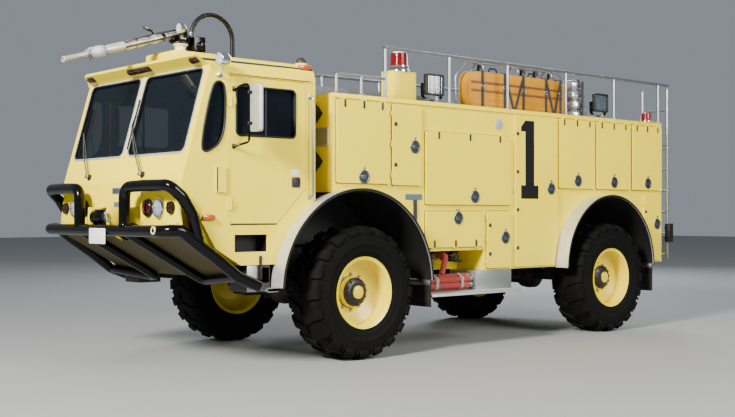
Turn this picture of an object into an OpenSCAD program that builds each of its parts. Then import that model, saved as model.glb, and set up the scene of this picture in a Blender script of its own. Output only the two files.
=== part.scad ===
// Airport fire truck: a raked hollow cab with a roof turret, and a body of hinged lockers
// with a railed deck, on two driven axles. Lengths are in millimetres. +X is forward,
// +Y is the driver's left and +Z is up. Every place is measured along X from the front
// axle and along Z from the ground, and the finished part is slid along X at the end so
// that the middle of its length stands over the origin.

/* [Wheels and axles] */
// Distance between the front and rear axles
wheelbase = 4280; // [4240:10:4320]
// Diameter of a tyre over its lugs
tyre_d = 1410; // [1380:10:1420]
// Width of a tyre
tyre_w = 480; // [440:10:490]
// Height of a tread lug
lug_h = 22; // [14:1:26]
// Number of lugs round one shoulder of a tyre
lug_n = 20; // [16:1:24]
// Diameter of the rim's outer flange
rim_d = 760; // [720:10:790]
// Distance over the outer faces of the two tyres on an axle
over_tyres = 2810; // [2780:10:2840]
// Diameter of an axle tube
axle_tube_d = 150; // [120:5:170]
// Distance between the two kingpins
kingpin_span = 1640; // [1620:10:1660]
// Diameter of a kingpin
kingpin_d = 52; // [40:1:60]
// Diameter of a wheel spindle
spindle_d = 110; // [90:5:130]

/* [Chassis] */
// Distance between the middles of the two frame rails
rail_span = 760; // [720:10:800]
// Height of a frame rail
rail_h = 240; // [200:10:260]
// Width of a frame rail's flanges
rail_w = 80; // [60:5:100]
// Thickness of a frame rail's plate
rail_t = 12; // [8:1:20]
// Height of the rails' underside above the ground
rail_z = 930; // [915:5:940]
// Width of a leaf spring
spring_w = 60; // [50:2:64]

/* [Body] */
// Distance over the outer faces of the locker doors, and over the cab's sides
side_span = 2440; // [2400:10:2460]
// Front of the body, ahead of the front axle
body_front = 290; // [270:10:310]
// Rear of the body, behind the rear axle
rear_overhang = 1420; // [1400:10:1480]
// Height of the deck's edge
deck_z = 2800; // [2795:5:2820]
// Height of the side lockers' underside
body_z = 870; // [850:5:880]
// Thickness of a locker door
door_t = 22; // [16:1:26]
// Clear gap behind and around a closed locker door
door_gap = 5; // [5:1:8]
// Depth of a locker behind its door
locker_depth = 440; // [380:10:470]
// Thickness of the body's walls round a locker opening
locker_wall = 24; // [20:1:30]
// Distance from a locker door's edge to its hinge pin
hinge_reach = 10; // [9:1:12]
// Diameter of a locker hinge's knuckles
hinge_d = 13; // [10:1:14]

/* [Wheel arches] */
// Radius of the front wheel arches
front_arch_r = 1035; // [1020:5:1040]
// Radius of the rear wheel arches
rear_arch_r = 920; // [900:5:930]
// Distance over the outer lips of the two wheel arches
over_arches = 2820; // [2800:10:2850]
// Thickness of a wheel arch's band
arch_t = 14; // [8:1:20]

/* [Cab] */
// Rear face of the cab, ahead of the front axle
cab_rear = 540; // [530:5:560]
// Foremost point of the windscreen's foot, ahead of the front axle
screen_foot_x = 2134; // [2120:2:2150]
// Height of the windscreen's foot
screen_foot_z = 1850; // [1830:5:1870]
// Lean of the windscreen from upright, in degrees
rake = 16; // [14:0.5:17]
// Thickness of the cab's walls and doors
cab_wall = 46; // [40:2:56]
// Height of the cab floor
cab_floor_z = 1470; // [1460:5:1480]
// Height of the rain gutter, where the sides meet the roof
gutter_z = 2890; // [2885:1:2895]
// Height of the roof's middle above the rain gutter
roof_rise = 230; // [225:1:240]
// Thickness of the window glass
glass_t = 8; // [6:1:12]

/* [Front guard] */
// Diameter of the front guard's tubes
guard_d = 90; // [76:2:96]

/* [Turret] */
// Height of the barrel's pitch pin above the roof
barrel_rise = 330; // [320:5:350]
// Length of the barrel from its pitch pin to its tip
barrel_l = 1400; // [1360:10:1420]
// Slope of the stowed barrel below level, in degrees
barrel_dip = 16.6; // [15:0.2:17]

/* [Deck] */
// Height of the deck's top rail
rail_top_z = 3350; // [3330:5:3370]
// Diameter of the deck rails
rail_tube_d = 36; // [30:1:42]

/* [Hidden] */
$fn = 48;

// Small working clearances
slip = 0.3;
seat = 0.3;
pin_slip = 0.5;

// Wheels
wheel_r = tyre_d / 2;
wheel_y = over_tyres / 2 - tyre_w / 2;
rim_r = rim_d / 2;
rim_barrel_r = rim_r - 22;
rim_half_w = tyre_w / 2 - 38;
hub_face_y = wheel_y - 10;
kingpin_y = kingpin_span / 2;

// Body
side_y = side_span / 2;
body_rear = wheelbase + rear_overhang;
roof_z = gutter_z + roof_rise;
barrel_pin_z = roof_z + barrel_rise;
door_in_y = side_y - door_t;
frame_y = door_in_y - door_gap;
well_y = 500;
tunnel_z = rail_z + rail_h + 30;
front_arch = [50, 755];
rear_arch = [-wheelbase, 850];
hinge_y = side_y - door_t / 2 + 4;

// Locker doors on the left side: front x, rear x, bottom z, top z, hinged edge
DOOR_X0 = 0;
DOOR_X1 = 1;
DOOR_Z0 = 2;
DOOR_Z1 = 3;
DOOR_EDGE = 4;
axle_x = -wheelbase;
over_arch_z = rear_arch[1] + rear_arch_r + 90;
door_top_z = deck_z - 55;
tray_x = [axle_x + 2250, -980];
rear_doors_x = [axle_x + 860, axle_x + 140, axle_x + 80, axle_x - 650, axle_x - 710, -body_rear + 30];
left_doors = [
  [240, -500, over_arch_z, door_top_z, "top"],
  [-550, -990, over_arch_z - 10, door_top_z, "front"],
  [-1060, axle_x + 1780, 1640, door_top_z - 275, "top"],
  [-1060, axle_x + 2270, 1150, 1565, "bottom"],
  [axle_x + 2200, axle_x + 1780, body_z + 20, 1570, "front"],
  [axle_x + 1700, axle_x + 895, body_z + 20, door_top_z, "front"],
  [rear_doors_x[0], rear_doors_x[1], over_arch_z, door_top_z, "top"],
  [rear_doors_x[2], rear_doors_x[3], over_arch_z, door_top_z, "top"],
  [rear_doors_x[4], rear_doors_x[5], over_arch_z, door_top_z, "top"],
  [axle_x - rear_arch_r - 50, -body_rear + 40, body_z + 20, over_arch_z - 70, "front"],
];
right_doors = [
  [-1060, axle_x + 1780, 1640, door_top_z - 275, "top"],
  [axle_x + 1700, axle_x + 895, body_z + 20, door_top_z, "front"],
  [rear_doors_x[0], rear_doors_x[3], over_arch_z, door_top_z, "top"],
  [rear_doors_x[4], rear_doors_x[5], over_arch_z, door_top_z, "top"],
];

// Length of the part, from the barrel's tip to the rear ladder
ladder_x = -body_rear - 180;
ladder_d = 40;
barrel_pin_x = 1400;
part_front = barrel_pin_x + barrel_l * cos(barrel_dip) + 27 * sin(barrel_dip);
part_rear = ladder_x - ladder_d / 2;
mid_x = (part_front + part_rear) / 2;

function front_x(z) = screen_foot_x - (z - screen_foot_z) * tan(rake);

// A block between two corners
module block(x0, x1, y0, y1, z0, z1) {
  translate([min(x0, x1), min(y0, y1), min(z0, z1)])
    cube([abs(x1 - x0), abs(y1 - y0), abs(z1 - z0)]);
}

// What stands on both sides of the truck
module both_sides() {
  children();
  mirror([0, 1, 0]) children();
}

// An outline drawn in X and Z, as thick as y1 - y0
module side_plate(y0, y1) {
  translate([0, y1, 0]) rotate([90, 0, 0]) linear_extrude(y1 - y0) children();
}

// An outline drawn in Y and Z, as thick as x1 - x0
module cross_plate(x0, x1) {
  translate([x0, 0, 0]) rotate([90, 0, 90]) linear_extrude(x1 - x0) children();
}

// A round bar from one point to another
module bar(p, q, d) {
  v = q - p;
  l = norm(v);
  translate(p) rotate([0, acos(v[2] / l), atan2(v[1], v[0])]) cylinder(d = d, h = l);
}

// A tube bent through a list of points, with a round knuckle at each corner
knuckle_swell = 1.5;
module bent_tube(points, d) {
  for (i = [0:len(points) - 2]) bar(points[i], points[i + 1], d);
  if (len(points) > 2)
    for (i = [1:len(points) - 2]) translate(points[i]) sphere(d = d + knuckle_swell);
}

// A rectangle from corner to corner with round corners
module round_rect(x0, y0, x1, y1, r) {
  translate([x0 + r, y0]) square([x1 - x0 - 2 * r, y1 - y0]);
  translate([x0, y0 + r]) square([x1 - x0, y1 - y0 - 2 * r]);
  for (x = [x0 + r, x1 - r], y = [y0 + r, y1 - r]) translate([x, y]) circle(r);
}

// A turned shape whose axis lies across the truck, seen from its left
module turned_across(x, y, z) {
  translate([x, y, z]) rotate([-90, 0, 0]) rotate_extrude($fn = 200) children();
}

// The chassis: two channel rails, cross members, spring hangers and tow lugs at the rear
module channel(x0, x1) {
  block(x0, x1, rail_span / 2 + rail_w / 2 - rail_t, rail_span / 2 + rail_w / 2, rail_z, rail_z + rail_h);
  for (z = [rail_z, rail_z + rail_h - rail_t])
    block(x0, x1, rail_span / 2 - rail_w / 2, rail_span / 2 + rail_w / 2, z, z + rail_t);
}

rail_top = rail_z + rail_h;
rail_inner = rail_span / 2 - rail_w / 2;
rail_front = 1430;
// Pads that carry the body and the cab on the rails
pad_x = [axle_x - 1220, axle_x - 120, axle_x + 980, -2700, -1200, 100, 640, 1300];

rail_rear = -body_rear + 100;
cross_members = [1385, 900, -900, -2100, axle_x + 1080, axle_x - 920, rail_rear + 40];
spring_half = 560;
spring_rise = 22;
spring_r = (spring_half * spring_half + spring_rise * spring_rise) / (2 * spring_rise);
leaf_t = 14;
leaf_n = 5;
spring_pin_d = 30;
spring_pad_z = wheel_r + axle_tube_d / 2 + 12;
spring_low_z = spring_pad_z + 3;

tow_eye = [-body_rear - 40, rail_z + 130];
tow_eye_d = 50;
tow_lug_t = 40;
module tow_lug_outline() {
  difference() {
    union() {
      translate(tow_eye) circle(r = 62);
      translate([tow_eye[0], tow_eye[1] - 62]) square([rail_rear + 1 - tow_eye[0], 124]);
    }
    translate(tow_eye) circle(d = tow_eye_d);
  }
}

module chassis_frame() {
  color("#2b2b2c") {
    both_sides() {
      side_plate(rail_inner + rail_w - tow_lug_t, rail_inner + rail_w) tow_lug_outline();
      for (x = pad_x)
        block(x - 60, x + 60, rail_inner, rail_inner + rail_w, rail_top - 1, tunnel_z - seat);
    }
    both_sides() channel(rail_rear, rail_front);
    for (x = cross_members)
      block(x - 40, x + 40, -rail_span / 2 - rail_w / 2 + rail_t, rail_span / 2 + rail_w / 2 - rail_t,
            rail_z + 106, rail_z + rail_h - 30);
    for (at_x = [0, axle_x], s = [-1, 1])
      both_sides() for (y0 = [-rail_w / 2, spring_w / 2 + 1])
        side_plate(rail_span / 2 + y0, rail_span / 2 + y0 + rail_w / 2 - spring_w / 2 - 1)
          translate([at_x + s * spring_half, 0]) spring_hanger_outline();
  }
}

module spring_hanger_outline() {
  difference() {
    union() {
      translate([0, spring_eye_z]) circle(r = 34);
      polygon([[-34, spring_eye_z], [34, spring_eye_z], [60, rail_z + 1], [-60, rail_z + 1]]);
    }
    translate([0, spring_eye_z]) circle(d = spring_pin_d + 2 * pin_slip);
  }
}

spring_eye_z = spring_low_z + leaf_n * leaf_t - leaf_t / 2 + spring_rise;

// The spring seen from the side: leaves bent to circles with one middle above the axle,
// and the rolled eyes of the top leaf
module spring_outline() {
  bend_z = spring_low_z + leaf_n * leaf_t + spring_r;
  for (i = [0:leaf_n - 1]) {
    reach = (spring_half - 24) * (1 - 0.16 * i);
    intersection() {
      translate([0, bend_z]) difference() {
        circle(r = spring_r + (i + 1) * leaf_t - slip, $fn = 720);
        circle(r = spring_r + i * leaf_t, $fn = 720);
      }
      translate([-reach, spring_low_z - 20]) square([2 * reach, 200]);
    }
  }
  for (s = [-1, 1]) translate([s * spring_half, spring_eye_z]) difference() {
    circle(r = 28);
    circle(d = spring_pin_d + 2 * pin_slip);
  }
}

module leaf_springs() {
  color("#3a3632")
    for (at_x = [0, axle_x])
      both_sides() translate([at_x, rail_span / 2, 0]) {
        side_plate(-spring_w / 2, spring_w / 2) spring_outline();
        block(-70, 70, -spring_w / 2 - 8, spring_w / 2 + 8, spring_pad_z + seat,
              spring_low_z + leaf_n * leaf_t + 16);
        for (s = [-1, 1])
          translate([s * spring_half, rail_w / 2, spring_eye_z]) rotate([90, 0, 0])
            cylinder(d = spring_pin_d, h = rail_w);
      }
}

// An axle: a tube across, a bowl for the gears and pads under the springs
module axle_bowl() {
  turned_across(0, -150, wheel_r)
    polygon([[0, 0], [110, 0], [190, 60], [200, 150], [190, 240], [110, 300], [0, 300]]);
  bar([0, 0, wheel_r], nose, nose_d);
}

module spring_pads() {
  both_sides() block(-80, 80, rail_span / 2 - 60, rail_span / 2 + 60, wheel_r, spring_pad_z);
}

module front_axle() {
  color("#3a3a3c") {
    difference() {
      union() {
        bar([0, -kingpin_y, wheel_r], [0, kingpin_y, wheel_r], axle_tube_d);
        both_sides() translate([0, kingpin_y, wheel_r - 90]) cylinder(d = 130, h = 180);
      }
      both_sides() translate([0, kingpin_y, wheel_r - 100]) cylinder(d = kingpin_d + 2 * pin_slip, h = 200);
    }
    mirror([1, 0, 0]) axle_bowl();
    spring_pads();
  }
}

module rear_axle() {
  color("#3a3a3c") translate([-wheelbase, 0, 0]) {
    bar([0, -hub_face_y + 60, wheel_r], [0, hub_face_y - 60, wheel_r], axle_tube_d);
    both_sides() bar([0, hub_face_y - 61, wheel_r], [0, hub_face_y + 70, wheel_r], spindle_d);
    axle_bowl();
    spring_pads();
  }
}

// Engine block at the rear, transfer case in the middle, and the shafts between them
engine_x = [axle_x - 870, axle_x - 490];
engine_top = 1900;
case_x = [-1350, -1800];
case_z = 1000;
nose = [330, 0, wheel_r + 40];
nose_d = 170;

// A shaft from the transfer case to the flange on an axle's nose, the axle at x
module prop_shaft(from_x, to_x, way) {
  lean = (nose - [0, 0, wheel_r]) / norm(nose - [0, 0, wheel_r]);
  tip = nose + lean * seat;
  place = [to_x, 0, 0];
  flange = tip + lean * 22;
  bar(place + [way * tip[0], 0, tip[2]], place + [way * flange[0], 0, flange[2]], 130);
  bar([from_x, 0, case_z], place + [way * (nose[0] + 12), 0, nose[2] + 1], 80);
}

module driveline() {
  color("#4a4c4f") {
    block(engine_x[0], engine_x[1], -300, 300, rail_top + 10, engine_top);
    both_sides() for (x = [engine_x[0] + 40, engine_x[1] - 100])
      block(x, x + 60, 270, rail_span / 2 + 20, rail_top + seat, tunnel_z);
    block(case_x[1], case_x[0], -190, 190, 940, 1160);
    block(-1640, -1520, -rail_inner + seat, rail_inner - seat, rail_top - rail_t + 1, rail_top - 1);
    block(-1640, -1520, -100, 100, 1150, rail_top - 1);
    prop_shaft(case_x[0], 0, -1);
    prop_shaft(case_x[1], -wheelbase, 1);
  }
}

// A steering knuckle: two arms over and under the axle's end, the kingpin, the spindle
// and an arm to the tie rod
knuckle_gap = 6;
arm_y = kingpin_y;
arm_x = -330;
tie_z = wheel_r - 150;

module knuckle() {
  half = 90 + knuckle_gap;
  for (s = [-1, 1])
    translate([0, kingpin_y, wheel_r + s * (half + 16) - 16]) {
      cylinder(d = 130, h = 32);
      block(-65, 65, 0, 120, 0, 32);
    }
  block(-75, 75, kingpin_y + 78, kingpin_y + 120, wheel_r - half - 32, wheel_r + half + 32);
  translate([0, kingpin_y, wheel_r - half - 32]) cylinder(d = kingpin_d, h = 2 * half + 64);
  bar([0, kingpin_y + 100, wheel_r], [0, hub_face_y + 70, wheel_r], spindle_d);
  block(arm_x - 40, -60, arm_y - 30, arm_y + 30, tie_z, tie_z + 28);
  block(-75, -40, arm_y - 30, kingpin_y + 100, tie_z, tie_z + 28);
  translate([arm_x, arm_y, tie_z - 40]) cylinder(d = 24, h = 60);
}

module knuckle_left() {
  color("#444648") knuckle();
}

module knuckle_right() {
  color("#444648") mirror([0, 1, 0]) knuckle();
}

module tie_rod() {
  color("#55585a") difference() {
    union() {
      bar([arm_x, -arm_y + 20, tie_z - 26], [arm_x, arm_y - 20, tie_z - 26], 34);
      for (s = [-1, 1]) translate([arm_x, s * arm_y, tie_z - 44]) cylinder(d = 56, h = 36);
    }
    for (s = [-1, 1]) translate([arm_x, s * arm_y, tie_z - 60]) cylinder(d = 24 + 2 * pin_slip, h = 70);
  }
}

// A tyre: a turned carcass and block lugs that run over its shoulders
carcass_r = wheel_r - lug_h;
bead_r = rim_barrel_r + slip;

module tyre_carcass_half() {
  polygon([[bead_r, 0], [bead_r, rim_half_w - 16], [bead_r + 22, rim_half_w - 6],
           [rim_r + 60, tyre_w / 2 - 14], [carcass_r - 150, tyre_w / 2 - 4],
           [carcass_r - 70, tyre_w / 2 - 12],
           [carcass_r - 14, tyre_w / 2 - 60], [carcass_r, tyre_w / 2 - 110], [carcass_r, 0]]);
}

module lug_envelope() {
  polygon([[carcass_r - 90, tyre_w / 2 - 30], [carcass_r - 100, tyre_w / 2], [wheel_r - 34, tyre_w / 2],
           [wheel_r, tyre_w / 2 - 48], [wheel_r, 10], [carcass_r - 20, 10]]);
}

module tyre() {
  color("#232323") rotate([-90, 0, 0]) {
    rotate_extrude($fn = 96) {
      tyre_carcass_half();
      mirror([0, 1]) tyre_carcass_half();
    }
    for (s = [0, 1]) mirror([0, 0, s])
      intersection() {
        rotate_extrude($fn = 96) lug_envelope();
        for (i = [0:lug_n - 1])
          rotate([0, 0, (i + s / 2) * 360 / lug_n + 90])
            translate([carcass_r - 110, 0, 0]) rotate([-16, 0, 0]) translate([0, -48, -60])
              cube([150, 96, tyre_w / 2 + 90]);
      }
  }
}

// A deep dished rim: flange, barrel, disc and hub, bored for its spindle
module rim() {
  color("#e8b820") rotate([-90, 0, 0]) difference() {
    union() {
      rotate_extrude($fn = 96) polygon([
        [rim_barrel_r - 14, -rim_half_w], [rim_r, -rim_half_w - 16], [rim_r, -rim_half_w - 2],
        [rim_barrel_r, -rim_half_w + 12], [rim_barrel_r, rim_half_w - 12], [rim_r, rim_half_w + 2],
        [rim_r, rim_half_w + 16], [rim_barrel_r - 14, rim_half_w],
        [rim_barrel_r - 14, 34], [rim_barrel_r - 90, -4], [210, -26], [210, -46], [rim_barrel_r - 90, -24],
        [rim_barrel_r - 14, 10]]);
      rotate_extrude($fn = 64) polygon([
        [0, -70], [150, -70], [150, -46], [214, -46], [214, -20], [170, -20], [150, 60], [120, 84], [0, 84]]);
    }
    translate([0, 0, -80]) cylinder(d = spindle_d + 2 * pin_slip, h = 144);
  }
}

module wheel_place(x, s) {
  translate([x, s * wheel_y, wheel_r]) mirror([0, s < 0 ? 1 : 0, 0]) children();
}

// The cab's outlines: along the truck, and across it
function cab_outline() = [
  [cab_rear, 1030], [1470, 1030], [1760, 1200], [1900, 1430], [1980, 1550], [screen_foot_x, 1600],
  [screen_foot_x, screen_foot_z], [front_x(gutter_z + 70), gutter_z + 70], [visor_x, roof_z - 72],
  [visor_x, roof_z - 48], [1700, roof_z + 20], [cab_rear, roof_z + 20]];
visor_x = 1930;
function cab_hollow() = [
  [cab_rear + cab_wall, cab_floor_z], [1800, cab_floor_z], [screen_foot_x - cab_wall, 1700],
  [screen_foot_x - cab_wall, screen_foot_z],
  [front_x(roof_z - 90) - cab_wall / cos(rake), roof_z - 90], [cab_rear + cab_wall, roof_z - 90]];
corner_r = 190;

module roof_section(t) {
  y = side_y - t;
  r = corner_r - t;
  crown = roof_rise - corner_r;
  crown_r = (pow(side_y - corner_r, 2) + crown * crown) / (2 * crown);
  translate([-y, 900]) square([2 * y, gutter_z - 900]);
  translate([-y + r, gutter_z - 1]) square([2 * (y - r), r + 1]);
  for (s = [-1, 1]) translate([s * (y - r), gutter_z]) circle(r);
  intersection() {
    translate([-(y - r), gutter_z]) square([2 * (y - r), 400]);
    translate([0, roof_z - t - crown_r]) circle(crown_r, $fn = 360);
  }
}

// The cab door's outline and its window, and the quarter window ahead of it
door_pane_z = [gutter_z - 590, gutter_z - 110];
rear_pane_z = [gutter_z - 690, gutter_z - 130];
module cab_door_outline() {
  polygon([[670, 1790], [1030, 1440], [1590, 1440], [1590, gutter_z - 20], [700, gutter_z - 20],
           [670, gutter_z - 50]]);
}
module cab_door_window() {
  round_rect(800, door_pane_z[0], 1520, door_pane_z[1], 45);
}
module quarter_window() {
  translate([0, gutter_z])
    polygon([[1720, -60], [1635, -120], [1650, -640], [1870, -790], [1945, -730], [1810, -130]]);
}
module arch_cut(arch, r, y) {
  both_sides() translate([arch[0], y, arch[1]]) rotate([-90, 0, 0]) cylinder(r = r, h = 1500 - y, $fn = 128);
}

// A windscreen pane's place, in the leaning plane of the screen: across, up the slope
pane_in = 60;
pane_out = 1120;
pane_low = 290;
pane_high = (gutter_z + 46 - screen_foot_z) / cos(rake);
module on_screen(depth_out, depth_in) {
  translate([screen_foot_x, 0, screen_foot_z]) rotate([0, -rake, 0]) rotate([90, 0, 90])
    translate([0, 0, -depth_in]) linear_extrude(depth_out + depth_in) children();
}

module cab_body_solid() {
  intersection() {
    side_plate(-side_y, side_y) polygon(cab_outline());
    cross_plate(cab_rear - 10, 2300) roof_section(0);
  }
}

module cab_shell() {
  color("#e9d98a") {
    difference() {
      cab_body_solid();
      difference() {
        intersection() {
          side_plate(-side_y, side_y) polygon(cab_hollow());
          cross_plate(cab_rear, 2300) roof_section(cab_wall);
        }
        arch_cut(front_arch, front_arch_r + 40, well_y - 40);
      }
      arch_cut(front_arch, front_arch_r + seat, well_y);
      side_plate(-well_y - 1, well_y + 1) polygon([
        [cab_rear - 1, 1000], [cab_rear - 1, tunnel_z], [1440, tunnel_z], [1880, 1390], [1985, 1549],
        [2200, 1549], [2200, 1000]]);
      both_sides() {
        side_plate(side_y - cab_wall - 2, side_y + 1) cab_door_opening();
        side_plate(side_y - cab_wall - 2, side_y + 1) quarter_window();
        block(1150, 1540, side_y - 150, side_y + 1, 1160, 1330);
      }
      both_sides() on_screen(20, cab_wall + 20) round_rect(pane_in, pane_low, pane_out, pane_high, 60);
      cross_plate(cab_rear - 1, cab_rear + cab_wall + 1)
        round_rect(-700, rear_pane_z[0], 700, rear_pane_z[1], 60);
    }
    both_sides() {
      block(600, 1600, side_y - 2, side_y + 14, gutter_z, gutter_z + 10);
      for (z = cab_hinge_z) cab_hinge_leaf(z);
      translate([630, 1100, lamp_boss_z - 84]) cylinder(d = 130, h = 84);
      block(1650, 1760, side_y - 1, side_y + 18, 1740, 1990);
    }
  }
}

module cab_door_opening() {
  polygon([[670 - door_gap, 1790 - door_gap], [1030 - door_gap, 1440 - door_gap - 1],
           [1590 + door_gap, 1440 - door_gap - 1],
           [1590 + door_gap, gutter_z - 20 + door_gap], [700 - door_gap / 2, gutter_z - 20 + door_gap],
           [670 - door_gap, gutter_z - 50 + door_gap / 2]]);
}

module cab_glass() {
  color("#9fb4bd", 0.5) {
    both_sides() on_screen(-14, 14 + glass_t)
      round_rect(pane_in + seat, pane_low + seat, pane_out - seat, pane_high - seat, 60);
    both_sides() side_plate(side_y - 20 - glass_t, side_y - 20) quarter_glass_outline();
    cross_plate(cab_rear + 15, cab_rear + 15 + glass_t)
      round_rect(-700 + seat, rear_pane_z[0] + seat, 700 - seat, rear_pane_z[1] - seat, 60);
  }
}

module quarter_glass_outline() {
  translate([1780, gutter_z - 430]) scale(0.998) translate([-1780, 430 - gutter_z]) quarter_window();
}

cab_hinge_x = 1590 + door_gap / 2;
cab_hinge_y = side_y + 12;
cab_hinge_z = [1600, gutter_z - 290];
cab_hinge_h = 60;
cab_hinge_d = 18;

module cab_door() {
  difference() {
    side_plate(side_y - cab_wall, side_y) cab_door_outline();
    side_plate(side_y - cab_wall - 1, side_y + 1) cab_door_window();
  }
  for (z = cab_hinge_z) {
    translate([cab_hinge_x, cab_hinge_y, z]) cylinder(d = cab_hinge_d, h = cab_hinge_h);
    block(cab_hinge_x - 70, cab_hinge_x, side_y - 1, side_y + 7, z, z + cab_hinge_h);
  }
}

// The hinge knuckles over and under the door's own, on a leaf fixed to the cab
module cab_hinge_leaf(z) {
  for (z0 = [z - 26 - slip, z + cab_hinge_h + slip]) {
    translate([cab_hinge_x, cab_hinge_y, z0]) cylinder(d = cab_hinge_d, h = 26);
    block(cab_hinge_x, cab_hinge_x + 14, side_y - 1, side_y + 7, z0, z0 + 26);
  }
  block(cab_hinge_x + 13, cab_hinge_x + 38, side_y - 1, side_y + 7,
        z - 26 - slip, z + cab_hinge_h + 26 + slip);
}

module cab_door_left() {
  color("#e9d98a") cab_door();
}
module cab_door_right() {
  color("#e9d98a") mirror([0, 1, 0]) cab_door();
}
module cab_door_glass() {
  side_plate(side_y - 24 - glass_t, side_y - 24)
    round_rect(800 + seat, door_pane_z[0] + seat, 1520 - seat, door_pane_z[1] - seat, 45);
}
module cab_door_glass_left() {
  color("#9fb4bd", 0.5) cab_door_glass();
}
module cab_door_glass_right() {
  color("#9fb4bd", 0.5) mirror([0, 1, 0]) cab_door_glass();
}

lamp_boss_z = roof_z - 36;

// Seats, dash panel and steering wheel
module seat_at(x, y) {
  block(x - 230, x + 230, y - 240, y + 240, 1840, 1960);
  translate([x - 230, y, 1900]) rotate([0, -8, 0]) block(-100, 20, -230, 230, 0, 760);
  block(x - 190, x + 190, y - 180, y + 180, cab_floor_z + seat, 1842);
}
module cab_interior() {
  color("#3b3c3f") {
    for (y = [-620, 620]) seat_at(1080, y);
    side_plate(-1100, 1100) polygon([[1795, cab_floor_z + seat], [1795, 1900], [1740, 2000], [1760, 2080],
                                     [1960, 2110], [2028, 2040], [2080, 1860], [2082, 1705]]);
    bar([1870, 620, 2020], [1640, 620, 2170], 50);
    translate([1640, 620, 2170]) rotate([0, -57, 0]) rotate_extrude() translate([210, 0]) circle(d = 30);
    translate([1640, 620, 2170]) rotate([0, -57, 0]) for (a = [90, 210, 330])
      rotate([0, 0, a]) block(0, 205, -14, 14, -8, 8);
  }
}

// The tubes that guard the front and carry the skid plate
guard_y = 1268;
guard_top_in = [2320, 460, 1370];
guard_low_in = [1400, 460, 846];
guard_slope = (guard_top_in[2] - guard_low_in[2]) / (guard_top_in[0] - guard_low_in[0]);
guard_low_out = [1530, guard_y, guard_low_in[2] + (1530 - guard_low_in[0]) * guard_slope];
inner_tube_d = guard_d - 12;
module front_guard() {
  color("#1d1e20") both_sides() {
    bent_tube([[2320, 0, 1370], [2320, 1150, 1370], [2285, 1225, 1376], [2180, guard_y, 1380],
               [2000, guard_y, 1250],
               [1780, guard_y, 1105], guard_low_out, [1290, guard_y, 826]], guard_d);
    bent_tube([[2320, 470, 1370], [2320, 470, 1730], [2310, 530, 1790], [2300, 1130, 1805],
               [2275, 1225, 1800],
               [2160, guard_y, 1690], [2050, guard_y, 1520], [1975, guard_y, 1235]], guard_d - 6);
    bent_tube([guard_top_in, guard_low_in, guard_low_out], inner_tube_d);
    block(rail_front + seat, rail_front + 14, rail_inner, rail_inner + rail_w, rail_z + 60, rail_top);
    bent_tube([[rail_front + 8, rail_span / 2, 1130], [2180, rail_span / 2, 1425],
               [2310, rail_span / 2, 1400]], 50);
  }
}

skid_slope = atan(guard_slope);
skid_t = 8;
module skid_plate() {
  color("#c9b95c") translate([guard_top_in[0], 0, guard_top_in[2]]) rotate([0, 180 - skid_slope, 0])
    difference() {
      block(104, 1050, -1180, 1180, -inner_tube_d / 2 - skid_t - seat, -inner_tube_d / 2 - seat);
      block(160, 300, -110, 330, -guard_d, 0);
    }
}

module winch() {
  color("#27292b") {
    bar([2200, -322, 1500], [2200, 52, 1500], 130);
    for (y = [-345, 50]) block(screen_foot_x + seat, 2290, y, y + 24, 1370 + guard_d / 2 + seat, 1600);
  }
}

// Head lamps, turn lamps and marker lamps on the front panel
// Columns: distance from the middle, height, diameter
lamps = [[865, 1590, 200], [660, 1590, 175], [1070, 1590, 120]];
module cab_lamps() {
  color("#d9d9d6") both_sides() {
    cross_plate(screen_foot_x + seat, screen_foot_x + 26) round_rect(545, 1440, 1140, 1735, 20);
    for (l = lamps) translate([screen_foot_x + 25, l[0], l[1]]) rotate([0, 90, 0]) cylinder(d = l[2], h = 34);
    block(1690, 1750, side_y + seat, side_y + 10, gutter_z - 44, gutter_z - 6);
    bar([1720, side_y + 9, gutter_z - 24], [1715, 1300, gutter_z + 100], 18);
    bar([1650, 1300, gutter_z + 120], [1780, 1300, gutter_z + 120], 130);
    translate([630, 1100, lamp_boss_z + seat]) cylinder(d = 110, h = 70);
  }
}

module wiper(y, elbow, tip) {
  bent_tube([[front_x(1930) + 3, y, 1930], [front_x(1930) + 50, y, 1930], elbow, tip], 18);
}
module wipers() {
  color("#17181a") {
    wiper(-640, [2030, -1020, 2400], [1925, -1000, 2720]);
    wiper(470, [2030, 20, 2440], [1925, 40, 2720]);
  }
}

// A mirror on a bent tube, carried by two pads at the front edge of a door: its head stands
// across the truck, with the glass in a shallow recess of its rear face
mirror_arm_x = 1555;
mirror_pad = 14;
mirror_tube = [1440, 1322];
mirror_y = [mirror_tube[1] + 4, 1488];
mirror_x = [mirror_tube[0] - 48, mirror_tube[0] - 3];
mirror_foot_z = gutter_z - 700;
mirror_z = [140, 600];
mirror_lip = 10;
module door_mirror() {
  pads = [0, 555];
  color("#8c8f92") translate([0, 0, mirror_foot_z]) {
    for (z = pads)
      block(mirror_arm_x - 15, mirror_arm_x + 15, side_y + seat, side_y + mirror_pad, z - 24, z + 24);
    bent_tube([[mirror_arm_x, side_y + mirror_pad, pads[0]], [mirror_tube[0], mirror_tube[1], pads[0] + 40],
               [mirror_tube[0], mirror_tube[1], pads[1] + 70], [mirror_arm_x, side_y + mirror_pad, pads[1]]], 24);
    difference() {
      block(mirror_x[0], mirror_x[1], mirror_y[0], mirror_y[1], mirror_z[0], mirror_z[1]);
      block(mirror_x[0] - 1, mirror_x[0] + 6, mirror_y[0] + mirror_lip, mirror_y[1] - mirror_lip,
            mirror_z[0] + mirror_lip, mirror_z[1] - mirror_lip);
    }
  }
}
module mirror_left() {
  door_mirror();
}
module mirror_right() {
  mirror([0, 1, 0]) door_mirror();
}

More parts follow.
